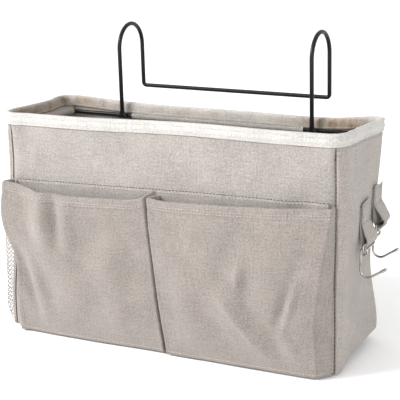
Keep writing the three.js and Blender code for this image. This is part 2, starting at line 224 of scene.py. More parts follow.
def woven(name, colour, thread, depth=0.00022, mottle=1.0, ribs=False, inside=None):
    """Plain-weave cloth: thread is its pitch. Ribs run across the cloth's length."""
    finish = Finish(name, Roughness=0.92, Sheen_Weight=0.25, Sheen_Roughness=0.5)
    place = finish.place()
    drift = finish.noise(place, 260, 1.0) - 0.5
    along, over = finish.across(place)
    along = along + drift * (thread * 0.9)
    over = over + drift * (thread * 0.9)
    a, b = along.wave(thread), over.wave(thread)
    if ribs:
        height = a.size() * 0.8 + b.size() * 0.2
    else:
        turn = (a * b * 3 + 0.5).clamped()
        height = a.size() * turn + b.size() * (1 - turn)
    warp = finish.noise(finish.stretched(place, 1150, 75), 1, 3.0, 0.6)
    weft = finish.noise(finish.stretched(place, 75, 1150), 1, 3.0, 0.6)
    grain = finish.noise(place, 900, 2.0)
    cloud = finish.noise(place, 26, 3.0, 0.55)
    slub = finish.noise(finish.stretched(place, 260, 520), 1, 1.0)
    fleck = finish.noise(place, 560, 3.0, 0.68)
    bars = finish.noise(finish.stretched(place, 420, 46), 1, 2.0)
    rungs = finish.noise(finish.stretched(place, 46, 420), 1, 2.0)
    tone = (warp - 0.5) * 0.7 + (weft - 0.5) * 0.6 + (grain - 0.5) * 0.4 + (fleck - 0.5) * 1.95
    tone = tone + (bars - 0.5) * 0.32 + (rungs - 0.5) * 0.32
    # The height term darkens the gaps between the threads: painted shade in the weave's hollows.
    tone = tone + (cloud - 0.5) * 0.6 + (height - 0.6) * 0.2
    tone = (tone * mottle + 0.5).clamped()
    base = finish.mix(tone, shade(colour, 0.62), shade(colour, 1.36))
    knot = ((slub - 0.69) * 9).clamped() * 0.55
    base = finish.mix(knot, base, shade(colour, 1.32))
    # Where the attribute "inside" is set, the inside colour darkens and warms the cloth: painted shade
    # on the tape's inner face, stronger where it is also stained. The noise multiplies in STAIN_COLOUR
    # as real stain mottles.
    if inside:
        tint = finish.node("ShaderNodeAttribute", {"attribute_name": "inside"}, output=2)
        stain = ((finish.noise(place, 55, 4.0, 0.7) - 0.47) * 7).clamped() * tint
        base = finish.mix(tint, base, (*inside, 1.0), "MULTIPLY")
        base = finish.mix(stain * 0.75, base, STAIN_COLOUR, "MULTIPLY")
    finish.drive("Base Color", base)
    finish.drive("Roughness", 0.88 + (grain - 0.5) * 0.12)
    crumple = finish.noise(place, 105, 2.0) * 3.4 + finish.noise(place, 42, 2.0) * 6
    relief = height + warp * 0.5 + weft * 0.4 + slub * 0.5
    finish.bump(relief + fleck * 2.2 + crumple * mottle, depth, 0.9)
    return finish.material


def thread_finish(name, colour):
    finish = Finish(name, Roughness=0.8, Sheen_Weight=0.3)
    place = finish.place("Object")
    twist = finish.noise(place, 2600, 2.0)
    finish.drive("Base Color", finish.mix(twist, shade(colour, 0.75), shade(colour, 1.2)))
    finish.bump(twist, 0.0001)
    return finish.material


def powder_coat(name):
    finish = Finish(name, Metallic=0.0, Specular_IOR_Level=0.22)
    place = finish.place("Object")
    peel = finish.noise(place, 1500, 2.0)
    wear = finish.noise(place, 120, 4.0, 0.6)
    dark = finish.mix(wear, (0.004, 0.004, 0.004, 1), (0.011, 0.011, 0.011, 1))
    finish.drive("Base Color", dark)
    finish.drive("Roughness", 0.34 + (wear - 0.5) * 0.25)
    finish.bump(peel, 0.00008, 0.5)
    return finish.material


def nickel(name):
    finish = Finish(name, Metallic=1.0)
    place = finish.place("Object")
    drawn = finish.noise(finish.stretched(place, 900, 900, 120), 1, 2.0)
    dull = finish.noise(place, 160, 3.0)
    tone = finish.mix(dull, (0.13, 0.12, 0.11, 1), (0.62, 0.59, 0.54, 1))
    finish.drive("Base Color", tone)
    finish.drive("Roughness", 0.16 + dull * 0.16 + (drawn - 0.5) * 0.08)
    finish.bump(drawn, 0.00004, 0.5)
    return finish.material


canvas = woven("canvas", (0.296, 0.272, 0.252), 0.9 * MM)
side_canvas = woven("side_canvas", (0.298, 0.265, 0.242), 0.9 * MM)
pocket_canvas = woven("pocket_canvas", (0.232, 0.206, 0.187), 0.9 * MM)
lining = woven("lining", (0.302, 0.260, 0.220), 0.6 * MM, mottle=0.7)
# Colour of the tape's inner face: painted shade over all of it, with real stains where the tint is
# strongest.
TAPE_INSIDE_SHADE_AND_STAIN = (0.66, 0.56, 0.45)
tape = woven("binding_tape", (0.483, 0.466, 0.449), 0.8 * MM, 0.0003, 0.75, True, TAPE_INSIDE_SHADE_AND_STAIN)
board_cloth = woven("board_cloth", (0.277, 0.244, 0.210), 0.7 * MM, mottle=0.8)
cream_thread = thread_finish("cream_thread", (0.470, 0.437, 0.399))
# The grey and brown threads draw real stitches and also painted shade: dark rows in needle holes, along
# the tape's crease, in the corner seam's groove and under folded edges.
grey_thread_and_shade = thread_finish("grey_thread_and_shade", (0.17, 0.14, 0.12))
brown_thread_and_shadow = thread_finish("brown_thread_and_shadow", (0.075, 0.048, 0.034))
net_yarn = thread_finish("net_yarn", (0.252, 0.220, 0.195))
black_coat = powder_coat("black_powder_coat")
bright_nickel = nickel("nickel_plate")


# ---- Meshes ----


def make_object(name, points, faces, corner_uvs, material):
    """A smooth mesh object; corner_uvs has one pair for each face corner, or is None."""
    data = bpy.data.meshes.new(name)
    data.from_pydata(np.asarray(points).tolist(), [], [list(map(int, f)) for f in faces])
    if corner_uvs is not None:
        layer = data.uv_layers.new(name="UVMap")
        layer.data.foreach_set("uv", np.asarray(corner_uvs, np.float32).ravel())
    data.materials.append(material)
    data.shade_smooth()
    made = bpy.data.objects.new(name, data)
    bpy.context.scene.collection.objects.link(made)
    return made


def runs(points, axis, closed):
    """Mean distance along a grid's rows or columns, starting from 0."""
    steps = np.linalg.norm(np.diff(points, axis=axis), axis=2).mean(axis=1 - axis)
    if closed:
        first, last = np.take(points, 0, axis), np.take(points, -1, axis)
        steps = np.append(steps, np.linalg.norm(first - last, axis=1).mean())
    return np.concatenate([[0], np.cumsum(steps)])


def signed_volume(points, faces):
    total = 0.0
    for face in faces:
        a = points[face[0]]
        for i in range(1, len(face) - 1):
            total += a @ np.cross(points[face[i]], points[face[i + 1]])
    return total


def closed_skin(name, rings, material, wrap, v_runs, u_runs, attribute=None):
    """A solid whose section rings[:, j] is closed; it wraps on itself or is capped at both ends.
    The section's second half is its first half in reverse, as in a sheet with two faces."""
    rows, columns = rings.shape[:2]
    points = rings.reshape(-1, 3)
    faces, uvs = [], []
    for i in range(rows):
        k = (i + 1) % rows
        for j in range(columns if wrap else columns - 1):
            m = (j + 1) % columns
            faces.append([i * columns + j, i * columns + m, k * columns + m, k * columns + j])
            u0, u1, v0, v1 = u_runs[j], u_runs[j + 1], v_runs[i], v_runs[i + 1]
            uvs.append([[u0, v0], [u1, v0], [u1, v1], [u0, v1]])
    if not wrap:
        for j, flip in ((0, False), (columns - 1, True)):
            low, high = 0, rows - 1
            while low < high - 1:
                ids = [low, low + 1, high - 1, high]
                if low + 1 == high - 1:
                    ids = [low, low + 1, high]
                face = [i * columns + j for i in ids]
                corner = [[u_runs[j], v_runs[i]] for i in ids]
                faces.append(face[::-1] if flip else face)
                uvs.append(corner[::-1] if flip else corner)
                low, high = low + 1, high - 1
    if not wrap:
        faces = [f if n < rows * (columns - 1) else f[::-1] for n, f in enumerate(faces)]
        uvs = [c if n < rows * (columns - 1) else c[::-1] for n, c in enumerate(uvs)]
    if signed_volume(points, faces) < 0:
        faces = [f[::-1] for f in faces]
        uvs = [c[::-1] for c in uvs]
    made = make_object(name, points, faces, [p for c in uvs for p in c], material)
    if attribute is not None:
        layer = made.data.attributes.new("inside", "FLOAT", "POINT")
        layer.data.foreach_set("value", attribute.ravel().astype(np.float32))
    return made


def grid_normals(points, closed, side):
    padded = points
    if closed:
        padded = np.concatenate([points[:, -1:], points, points[:, :1]], axis=1)
    across = np.gradient(padded, axis=1)
    along = np.gradient(padded, axis=0)
    normal = np.cross(across, along)
    if closed:
        normal = normal[:, 1:-1]
    length = np.linalg.norm(normal, axis=2, keepdims=True)
    return side * normal / np.maximum(length, 1e-12)


def cloth(name, face, thickness, material, closed=False, side=1, attribute=None):
    """A sheet whose seen face is the grid of points (rows, columns, 3). It is thickness deep behind
    that face, with rounded edges. side is 1 where columns x rows points out of the seen face."""
    normal = grid_normals(face, closed, side)
    thick = np.broadcast_to(np.asarray(thickness, float), face.shape[:2])[..., None]
    back = face - normal * thick

    def edge(row, inward):
        away = face[row] - face[inward]
        away = away / np.maximum(np.linalg.norm(away, axis=1, keepdims=True), 1e-12)
        return (face[row] + back[row]) / 2 + away * thick[row] * 0.45

    top, bottom = edge(-1, -2), edge(0, 1)
    rings = np.concatenate([face, top[None], back[::-1], bottom[None]])
    v = runs(face, 0, False)
    half = float(thick.mean()) / 2
    v_runs = np.concatenate([v, [v[-1] + half], v[::-1], [-half, 0]])
    u_runs = runs(face, 1, closed)
    if attribute is not None:
        attribute = np.concatenate([attribute, attribute[-1:], attribute[::-1], attribute[:1]])
    return closed_skin(name, rings, material, closed, v_runs, u_runs, attribute)


def frames_along(route):
    """Tangent and two steady crosswise directions at each point of a route."""
    tangents = np.gradient(route, axis=0)
    tangents /= np.linalg.norm(tangents, axis=1, keepdims=True)
    start = np.array([0, 0, 1.0]) if abs(tangents[0][2]) < 0.8 else np.array([1.0, 0, 0])
    side = np.cross(tangents[0], start)
    sides = []
    for t in tangents:
        side = side - t * (side @ t)
        side /= np.linalg.norm(side)
        sides.append(side)
    sides = np.array(sides)
    return tangents, sides, np.cross(tangents, sides)


def tube(name, route, radius, material, sides=16, closed=False):
    """Round wire along a route of points, with domed ends unless it is closed."""
    route = np.asarray(route, float)
    radius = np.broadcast_to(np.asarray(radius, float), len(route)).copy()
    if closed:
        route = np.concatenate([route[-2:], route, route[:2]])
        radius = np.concatenate([radius[-2:], radius, radius[:2]])
    tangents, across, over = frames_along(route)
    angles = np.linspace(0, 2 * math.pi, sides, endpoint=False)
    rings = (
        route[:, None]
        + radius[:, None, None] * np.cos(angles)[None, :, None] * across[:, None]
        + radius[:, None, None] * np.sin(angles)[None, :, None] * over[:, None]
    )
    if closed:
        rings = rings[2:-2]
    else:
        ends = []
        for index, sign in ((0, -1), (-1, 1)):
            dome = []
            for turn in (0.35, 0.75, 1.15, 1.5):
                centre = route[index] + sign * tangents[index] * radius[index] * math.sin(turn)
                shrink = math.cos(turn)
                dome.append(centre + (rings[index] - route[index]) * shrink)
            ends.append(np.array(dome))
        rings = np.concatenate([ends[0][::-1], rings, ends[1]])
    count = len(rings)
    points = rings.reshape(-1, 3)
    faces = []
    for i in range(count if closed else count - 1):
        k = (i + 1) % count
        for j in range(sides):
            m = (j + 1) % sides
            faces.append([i * sides + j, i * sides + m, k * sides + m, k * sides + j])
    if not closed:
        faces.append(list(range(sides))[::-1])
        faces.append([(count - 1) * sides + j for j in range(sides)])
    if signed_volume(points, faces) < 0:
        faces = [f[::-1] for f in faces]
    return make_object(name, points, faces, None, material)


def joined(name, parts):
    """Several mesh objects as one."""
    for part in parts:
        part.select_set(False)
    with bpy.context.temp_override(
        active_object=parts[0], selected_editable_objects=parts, selected_objects=parts
    ):
        bpy.ops.object.join()
    parts[0].name = parts[0].data.name = name
    return parts[0]


def sampled(face, rows, columns, lift=0.0, side=1):
    """Points on a grid's face at fractional row and column numbers, lifted off it."""
    normal = grid_normals(face, False, side)
    rows, columns = np.broadcast_arrays(np.asarray(rows, float), np.asarray(columns, float))
    i = np.clip(np.floor(rows).astype(int), 0, face.shape[0] - 2)
    j = np.clip(np.floor(columns).astype(int), 0, face.shape[1] - 2)
    a, b = (rows - i)[:, None], (columns - j)[:, None]

    def between(grid):
        low = grid[i, j] * (1 - b) + grid[i, j + 1] * b
        high = grid[i + 1, j] * (1 - b) + grid[i + 1, j + 1] * b
        return low * (1 - a) + high * a

    return between(face) + between(normal) * lift


# ---- Repeated work: stitches and net, as Geometry Nodes ----


class Tree:
    """A Geometry Nodes tree with named inputs."""

    def __init__(self, name, inputs):
        self.tree = bpy.data.node_groups.new(name, "GeometryNodeTree")
        face = self.tree.interface
        face.new_socket("Geometry", in_out="INPUT", socket_type="NodeSocketGeometry")
        face.new_socket("Geometry", in_out="OUTPUT", socket_type="NodeSocketGeometry")
        self.names = {}
        for label, kind in inputs.items():
            made = face.new_socket(label, in_out="INPUT", socket_type="NodeSocket" + kind)
            self.names[label] = made.identifier
        self.inputs = self.tree.nodes.new("NodeGroupInput")
        self.output = self.tree.nodes.new("NodeGroupOutput")

    def node(self, kind, settings=(), links=()):
        made = self.tree.nodes.new(kind)
        for name, value in dict(settings).items():
            setattr(made, name, value)
        for name, value in dict(links).items():
            if isinstance(value, bpy.types.NodeSocket):
                self.tree.links.new(value, made.inputs[name])
            elif isinstance(value, str):
                self.tree.links.new(self.inputs.outputs[value], made.inputs[name])
            else:
                made.inputs[name].default_value = value
        return made

    def finish(self, geometry):
        real = self.node("GeometryNodeRealizeInstances", {}, {"Geometry": geometry})
        smooth = self.node("GeometryNodeSetShadeSmooth", {}, {"Geometry": real.outputs[0]})
        painted = self.node(
            "GeometryNodeSetMaterial", {}, {"Geometry": smooth.outputs[0], "Material": "Material"}
        )
        self.tree.links.new(painted.outputs[0], self.output.inputs[0])

    def run(self, name, paths, values):
        """A plain mesh made by this tree along paths, each a run of points."""
        points, edges = [], []
        for path in paths:
            first = len(points)
            points += np.asarray(path).tolist()
            edges += [(i, i + 1) for i in range(first, len(points) - 1)]
        data = bpy.data.meshes.new(name + "_path")
        data.from_pydata(points, edges, [])
        source = bpy.data.objects.new(name + "_path", data)
        bpy.context.scene.collection.objects.link(source)
        modifier = source.modifiers.new("made", "NODES")
        modifier.node_group = self.tree
        for label, value in values.items():
            modifier[self.names[label]] = value
        graph = bpy.context.evaluated_depsgraph_get()
        graph.update()
        plain = bpy.data.meshes.new_from_object(source.evaluated_get(graph))
        plain.name = name
        bpy.data.objects.remove(source)
        made = bpy.data.objects.new(name, plain)
        bpy.context.scene.collection.objects.link(made)
        return made


def stitch_tree():
    tree = Tree(
        "stitch_row",
        {
            "Pitch": "Float",
            "Stitch": "Float",
            "Thread": "Float",
            "Seed": "Int",
            "Material": "Material",
        },
    )
    curve = tree.node("GeometryNodeMeshToCurve", {}, {"Mesh": "Geometry"})
    even = tree.node(
        "GeometryNodeResampleCurve", {"mode": "LENGTH"}, {0: curve.outputs[0], "Length": "Pitch"}
    )
    bead = tree.node(
        "GeometryNodeMeshUVSphere", {}, {"Segments": 6, "Rings": 6, "Radius": 1.0}
    )
    half = tree.node("ShaderNodeMath", {"operation": "MULTIPLY"}, {0: "Stitch", 1: 0.5})
    size = tree.node(
        "ShaderNodeCombineXYZ", {}, {"X": "Thread", "Y": "Thread", "Z": half.outputs[0]}
    )
    shaped = tree.node(
        "GeometryNodeTransform", {}, {"Geometry": bead.outputs[0], "Scale": size.outputs[0]}
    )
    tangent = tree.node("GeometryNodeInputTangent")
    wander = tree.node(
        "FunctionNodeRandomValue",
        {"data_type": "FLOAT_VECTOR"},
        {"Min": (-0.13, -0.13, -0.13), "Max": (0.13, 0.13, 0.13), "Seed": "Seed"},
    )
    lean = tree.node(
        "ShaderNodeVectorMath", {"operation": "ADD"}, {0: tangent.outputs[0], 1: wander.outputs[0]}
    )
    turn = tree.node(
        "FunctionNodeAlignRotationToVector", {"axis": "Z"}, {"Vector": lean.outputs[0]}
    )
    length = tree.node(
        "FunctionNodeRandomValue", {"data_type": "FLOAT"}, {2: 0.82, 3: 1.12, "Seed": "Seed"}
    )
    spread = tree.node(
        "GeometryNodeInstanceOnPoints",
        {},
        {
            "Points": even.outputs[0],
            "Instance": shaped.outputs[0],
            "Rotation": turn.outputs[0],
            "Scale": length.outputs[1],
        },
    )
    tree.finish(spread.outputs[0])
    return tree


def net_tree():
    tree = Tree("net", {"Yarn": "Float", "Sides": "Int", "Material": "Material"})
    curve = tree.node("GeometryNodeMeshToCurve", {}, {"Mesh": "Geometry"})
    circle = tree.node(
        "GeometryNodeCurvePrimitiveCircle", {}, {"Resolution": "Sides", "Radius": "Yarn"}
    )
    strands = tree.node(
        "GeometryNodeCurveToMesh",
        {},
        {"Curve": curve.outputs[0], "Profile Curve": circle.outputs[0], "Fill Caps": True},
    )
    tree.finish(strands.outputs[0])
    return tree


stitch_row = stitch_tree()
net = net_tree()


def fit(made, replaced, body="caddy"):
    """Hides the CAD node a piece stands for and attaches the piece to the body it moves with."""
    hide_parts(replaced)
    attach(made, body)


def stitches(name, slot, paths, material, pitch, stitch, thread, seed):
    """Rows of stitches along paths; pitch, stitch and thread radius are in millimetres."""
    values = {
        "Pitch": pitch * MM,
        "Stitch": stitch * MM,
        "Thread": thread * MM,
        "Seed": seed,
        "Material": material,
    }
    made = stitch_row.run(name, paths, values)
    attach(made, "caddy")


# ---- The bag's wall ----


def smooth_step(low, high, value):
    t = np.clip((value - low) / (high - low), 0, 1)
    return t * t * (3 - 2 * t)


def through(value, *knots):
    """An eased curve through (place, height) knots, in millimetres."""
    places, heights = np.array(knots, float).T * MM
    i = np.clip(np.searchsorted(places, value) - 1, 0, len(places) - 2)
    slopes = np.gradient(heights, places)
    span = places[i + 1] - places[i]
    t = np.clip((value - places[i]) / span, 0, 1)
    a, b = heights[i], heights[i + 1]
    ease = t * t * (3 - 2 * t)
    lean = span * t * (1 - t) * ((1 - t) * slopes[i] - t * slopes[i + 1])
    return a + (b - a) * ease + lean


def level(z):
    return np.clip(z / TOP, 0, 1)


def half_width(z):
    return HALF_WIDTH[1] + (HALF_WIDTH[0] - HALF_WIDTH[1]) * level(z)


def front_y(z):
    return FRONT[1] + (FRONT[0] - FRONT[1]) * level(z)


def back_y(z):
    return BACK[1] + (BACK[0] - BACK[1]) * level(z)


def corner(z):
    return BASE_CORNER + (RIM_CORNER - BASE_CORNER) * smooth_step(0, 0.16, z)


def wall(lap, z, inset=0.0):
    """Points on the canvas's outer face. A lap round the bag is 8 long: corners take up each
    even stretch and walls each odd one, from the right side's rear end to the left."""
    lap, z, inset = np.broadcast_arrays(*map(np.asarray, (lap, z, inset)))
    lap = np.mod(lap, 8)
    part = np.floor(lap).astype(int)
    share = lap - part
    reach_x, y_low, y_high, radius = half_width(z), front_y(z), back_y(z), corner(z)
    quarter = part // 2
    on_corner = part % 2 == 0
    sign_x = np.array([1, -1, -1, 1])
    sign_y = np.array([1, 1, -1, -1])

    def centre(q):
        x = sign_x[q] * (reach_x - radius)
        y = np.where(sign_y[q] > 0, y_high - radius, y_low + radius)
        return x, y

    turn = np.where(on_corner, quarter + share, quarter + 1) * (math.pi / 2)
    reach = radius - inset
    x0, y0 = centre(quarter)
    x1, y1 = centre((quarter + 1) % 4)
    slide = np.where(on_corner, 0, share)
    x = x0 + (x1 - x0) * slide + reach * np.cos(turn)
    y = y0 + (y1 - y0) * slide + reach * np.sin(turn)
    return np.stack([x, y, z], axis=-1)


WAVES = [
    (
        rng.normal(size=3) * [1, 1, 0.7] / rng.uniform(0.012, 0.032),
        rng.uniform(0, 2 * math.pi),
        rng.uniform(0.35, 1.0),
    )
    for _ in range(12)
]


def ripple(points):
    """Slow unevenness of hand-sewn cloth, about -1 to 1."""
    total = sum(size * np.sin(points @ wave + phase) for wave, phase, size in WAVES)
    return total / sum(size for _, _, size in WAVES) * 1.8


def hollow(points, x, z, width, height, depth, lean=0.0):
    """A soft dent at x, z in millimetres on the front, or a swelling where depth is negative."""
    along = (points[..., 0] - x * MM) - lean * (points[..., 2] - z * MM)
    up = points[..., 2] - z * MM
    return depth * MM * np.exp(-((along / (width * MM)) ** 2) - (up / (height * MM)) ** 2)


def rim_lift(x, y, z):
    """The front of the rim stands higher than the back, which hangs on the hooks."""
    front = through(x, (-178, 4.0), (-84, 5.8), (36, 8.2), (178, 8.8))
    rear = through(x, (-178, 1.0), (-90, -2.0), (60, -3.0), (130, -2.0), (178, 3.0))
    share = smooth_step(-0.055, 0.055, y)
    return (front * (1 - share) + rear * share) * smooth_step(0.160, 0.213, z)


# How far the cloth moves at most, in each place where it moves
WAIST_IN = 6.0 * MM
REAR_FOOT_OUT = 2.2 * MM
RIGHT_FOOT_LIFT, LEFT_FOOT_LIFT = 9.0 * MM, 3.0 * MM
LEFT_CORNER_OUT, LEFT_CORNER_FORWARD = 7.0 * MM, 3.5 * MM
LEFT_REAR_OUT = 4.5 * MM
RIGHT_RIM_OUT = 3.0 * MM
ROUGHNESS = 1.5 * MM
RIM_WAVER = 0.5 * MM
FRONT_END_DENT = 4.0 * MM
# Dents and swellings of the front panel above the pockets, as hollow takes them
FRONT_DENTS = [
    (-162, 196, 7, 20, 4.5, 0.2),
    (-148, 182, 9, 26, -1.6, 0.2),
    (150, 172, 15, 24, 5.0, 0.45),
    (128, 186, 11, 26, -2.2, 0.35),
    (60, 190, 34, 12, 1.1),
    (-20, 176, 26, 16, -1.2),
    (118, 196, 12, 18, -1.6, 0.5),
    (-105, 178, 26, 18, -1.0),
]


def settle(points):
    """How the cloth sags from its cut shape. Every piece sewn to the bag goes through it."""
    points = np.array(points, float)
    x, y, z = points[..., 0], points[..., 1], points[..., 2]
    free = 1 - smooth_step(0.150, 0.203, z)
    side = smooth_step(0.120, 0.172, np.abs(x))
    out = np.where(x > 0, 1.0, -1.0)
    waist = np.exp(-(((z - 0.082) / 0.040) ** 2))
    pull = 0.2 + 0.8 * smooth_step(-0.060, 0.015, y)
    foot = np.exp(-((z / 0.034) ** 2))
    rear_foot = foot * smooth_step(-0.02, 0.04, y)
    lifted = smooth_step(-0.062, -0.028, y) * np.exp(-((z / 0.026) ** 2))
    front, rear = smooth_step(0.02, 0.05, -y), smooth_step(0.0, 0.05, y)
    left_end = smooth_step(0.155, 0.176, -x)
    left_corner = left_end * smooth_step(-0.03, 0.05, -y)
    right_rim = smooth_step(0.165, 0.178, x) * smooth_step(0.15, 0.21, z)
    shift = np.zeros_like(points)
    shift[..., 0] -= out * side * WAIST_IN * waist * pull
    shift[..., 0] += out * side * REAR_FOOT_OUT * rear_foot
    shift[..., 2] += side * np.where(x > 0, RIGHT_FOOT_LIFT, LEFT_FOOT_LIFT) * lifted
    shift[..., 0] -= LEFT_CORNER_OUT * left_corner
    shift[..., 1] -= LEFT_CORNER_FORWARD * left_corner * front
    shift[..., 0] -= LEFT_REAR_OUT * left_end * rear * np.clip(z / 0.2, 0, 1)
    shift[..., 0] += RIGHT_RIM_OUT * right_rim * rear
    shift[..., 2] += rim_lift(x, y, z)
    rough = ripple(points) * ROUGHNESS * free
    shift[..., 0] += out * side * rough
    face = np.where(y > 0, 1.0, -1.0)
    flat = smooth_step(0.02, 0.045, np.abs(y)) * (1 - 0.7 * side)
    shift[..., 1] += face * flat * rough
    dents = sum(hollow(points, *dent) for dent in FRONT_DENTS)
    dents += FRONT_END_DENT * smooth_step(0.138, 0.172, x) ** 2
    under_tape = 1 - smooth_step(0.158, 0.199, z)
    shift[..., 1] += front * dents * under_tape
    waver = RIM_WAVER * np.sin(x * 31 + 1.2) * (1 - free)
    shift[..., 2] += waver * (np.abs(y) > 0.03)
    return points + shift


CORNER_RUN, LONG_RUN, SHORT_RUN = 25, 325, 81  # round a corner and along each wall, in mm
LAP_LENGTHS = [CORNER_RUN, LONG_RUN, CORNER_RUN, SHORT_RUN] * 2


def laps(start, end, step, crowd=True):
    """Laps from start to end about step apart, crowded towards both ends where panels are sewn."""
    places = [start]
    while places[-1] < end - 1e-9:
        part = math.floor(places[-1] + 1e-9)
        stop = min(end, part + 1)
        length = LAP_LENGTHS[part % 8] * MM * (stop - places[-1])
        count = max(1, math.ceil(length / step))
        places += np.linspace(places[-1], stop, count + 1)[1:].tolist()
    if crowd:
        near = np.array([0.6, 1.2, 1.9, 2.8, 4.0]) / CORNER_RUN
        places += (start + near).tolist() + (end - near).tolist()
    return np.unique(np.round(places, 6))


FRONT_SEAM_RIGHT = 6 + 1 / 3
FRONT_SEAM_LEFT = 4 + 2 / 3
BACK_SEAM_LEFT = 2 + 1 / 3
BACK_SEAM_RIGHT = 2 / 3
SIDE_FLAT, LONG_FLAT = (0.134, 0.232), (0.362, 0.232)
# Each panel's start and end laps, cloth and flat size
PANELS = {
    "right_side_panel": (FRONT_SEAM_RIGHT - 8, BACK_SEAM_RIGHT, side_canvas, SIDE_FLAT),
    "back_panel": (BACK_SEAM_RIGHT, BACK_SEAM_LEFT, canvas, LONG_FLAT),
    "left_side_panel": (BACK_SEAM_LEFT, FRONT_SEAM_LEFT, side_canvas, SIDE_FLAT),
    "front_panel": (FRONT_SEAM_LEFT, FRONT_SEAM_RIGHT, canvas, LONG_FLAT),
}
FOOT_ROUND = 3.5 * MM  # where the wall turns under
wall_top = TOP - 1.5 * MM
turn_under = np.linspace(-90, 0, 7)
foot_rows = [
    (FOOT_ROUND * (1 - math.cos(math.radians(a))), FOOT_ROUND * (1 + math.sin(math.radians(a))))
    for a in turn_under
]
wall_rows = np.array(
    [(FOOT_ROUND + 3 * MM, 0.1 * MM)]
    + foot_rows
    + [(0, z) for z in np.arange(FOOT_ROUND + 3 * MM, wall_top - 1 * MM, 3.2 * MM)]
    + [(0, wall_top)]
)


def panel(name):
    start, end, material, flat = PANELS[name]
    columns = laps(start + 0.004, end - 0.004, 3.4 * MM)
    from_seam = np.minimum(columns - start, end - columns) * CORNER_RUN * MM
    # Side panels lap over the front and back ones, in a ridge that ends in a groove.
    deep = np.where(wall(columns, TOP)[:, 0] > 0, 2.7, 0.4)
    groove = deep * np.exp(-((from_seam / (0.9 * MM)) ** 2))
    if "side" in name:
        groove -= 0.9 * np.exp(-(((from_seam - 2.6 * MM) / (1.5 * MM)) ** 2))
    else:
        groove += 1.0 * np.exp(-((from_seam / (4.0 * MM)) ** 2))
    shown = 1 - smooth_step(0.198, 0.208, wall_rows[:, 1])
    inset = wall_rows[:, :1] + groove[None] * MM * (0.3 + 0.7 * shown[:, None])
    face = settle(wall(columns[None], wall_rows[:, 1:], inset))
    made = cloth(name + "_cloth", face, CANVAS, material)
    fit(made, name)


def hoop_wire():
    lap = laps(1.5, 9.5, 3 * MM, crowd=False)[:-1]
    route = wall(lap, HOOP_Z, HOOP_INSET)
    return tube("rim_hoop_wire", route, WIRE, black_coat, sides=16, closed=True)


hoop = hoop_wire()
fit(hoop, "rim_hoop")

for panel_name in PANELS:
    panel(panel_name)


# ---- Rim binding ----


# The tape's section from its outer lower edge over the rim, as inset and height in millimetres
BINDING_OUT = [-1.25, -0.75, -1.6, -1.95, -1.35, -0.75, -1.75, -1.3, 0.6]
BINDING_OUT_Z = [-11.7, -10.2, -8.9, -7.2, -5.3, -4.0, -2.2, -0.6, 0.0]
BINDING_IN = [2.0, 3.0, 3.5, 3.6, 3.5, 3.2, 3.2]
BINDING_IN_Z = [-0.4, -1.5, -3.2, -5.4, -7.6, -9.6, -11.3]


def binding():
    lap = laps(0, 8, 2.2 * MM, crowd=False)[:-1]
    inset = np.array(BINDING_OUT + BINDING_IN) * MM
    z = TOP + np.array(BINDING_OUT_Z + BINDING_IN_Z) * MM
    count = len(z)
    pucker = np.sin(lap * 61) * 0.10 + np.sin(lap * 97 + 1) * 0.09 + np.sin(lap * 23) * 0.12
    # The tape's two ends overlap on the right side.
    around = wall(lap, TOP)
    overlap = smooth_step(-0.034, -0.0335, around[:, 1]) - smooth_step(-0.0215, -0.021, around[:, 1])
    overlap = overlap * (around[:, 0] > 0.17) * 0.65
    outer = np.concatenate([np.ones(count // 2), np.linspace(0.8, 0, count // 2)])
    belly = np.sin(np.linspace(0, math.pi, count))
    swell = -pucker[None] * belly[:, None] - overlap[None] * outer[:, None]
    face = settle(wall(lap[None], z[:, None], inset[:, None] + swell * MM))
    # The inner half is darkened: a painted shade over all of it, and real stains most of all on the left
    # and at both ends of the back.
    within = np.concatenate([np.zeros(8), np.linspace(0.25, 1, 4), np.ones(4)])
    left_side = smooth_step(2.2, 2.8, lap) * (1 - smooth_step(4.0, 4.4, lap))
    ends = np.exp(-(((lap - 2.05) / 0.14) ** 2)) + np.exp(-(((lap - 1.1) / 0.12) ** 2))
    fade = np.clip(0.25 + 0.86 * left_side + 0.8 * ends, 0, 1)
    tint = within[:, None] * fade[None]
    made = cloth("rim_binding_tape", face, TAPE, tape, closed=True, side=1, attribute=tint)
    fit(made, "rim_binding")


binding()


# ---- Front pockets ----


POCKET_TALL = 155  # millimetres, before the hem's own curve


def rows_up(count, hem):
    """Shares of a pocket's height, closer together in its hem."""
    return np.unique(np.concatenate([np.linspace(0, 1, count), 1 - np.array(hem) / POCKET_TALL]))


def softened(plan, passes):
    """Rounds the folds of a plan outline; the first and last columns stay."""
    for _ in range(passes):
        plan[:, 1:-1] = plan[:, 1:-1] * 0.5 + (plan[:, :-2] + plan[:, 2:]) * 0.25
    return plan


def wall_depth(x, z):
    """How far the rounded corner stands behind the flat of the front panel."""
    radius = corner(z)
    past = np.clip(np.abs(x) - (half_width(z) - radius), 0, radius * 0.98)
    return radius - np.sqrt(radius**2 - past**2)


HEM = 8.6 * MM
COLUMNS = 9, 62, 9  # on each pocket's gusset, face and gusset
POCKET_ROWS = rows_up(50, (1.5, 3.0, 4.5, 6.5, 8.0, 9.0, 10.0))
SEWN_STAND = 0.9 * MM  # a pocket's sewn edge off the panel
# How the foot turns under, to the seam round the base: height and distance back, in millimetres
FOOT_TURN = ((-0.2, 10.0), (-0.25, 4.0), (-0.1, 1.4), (0.25, 0.4))


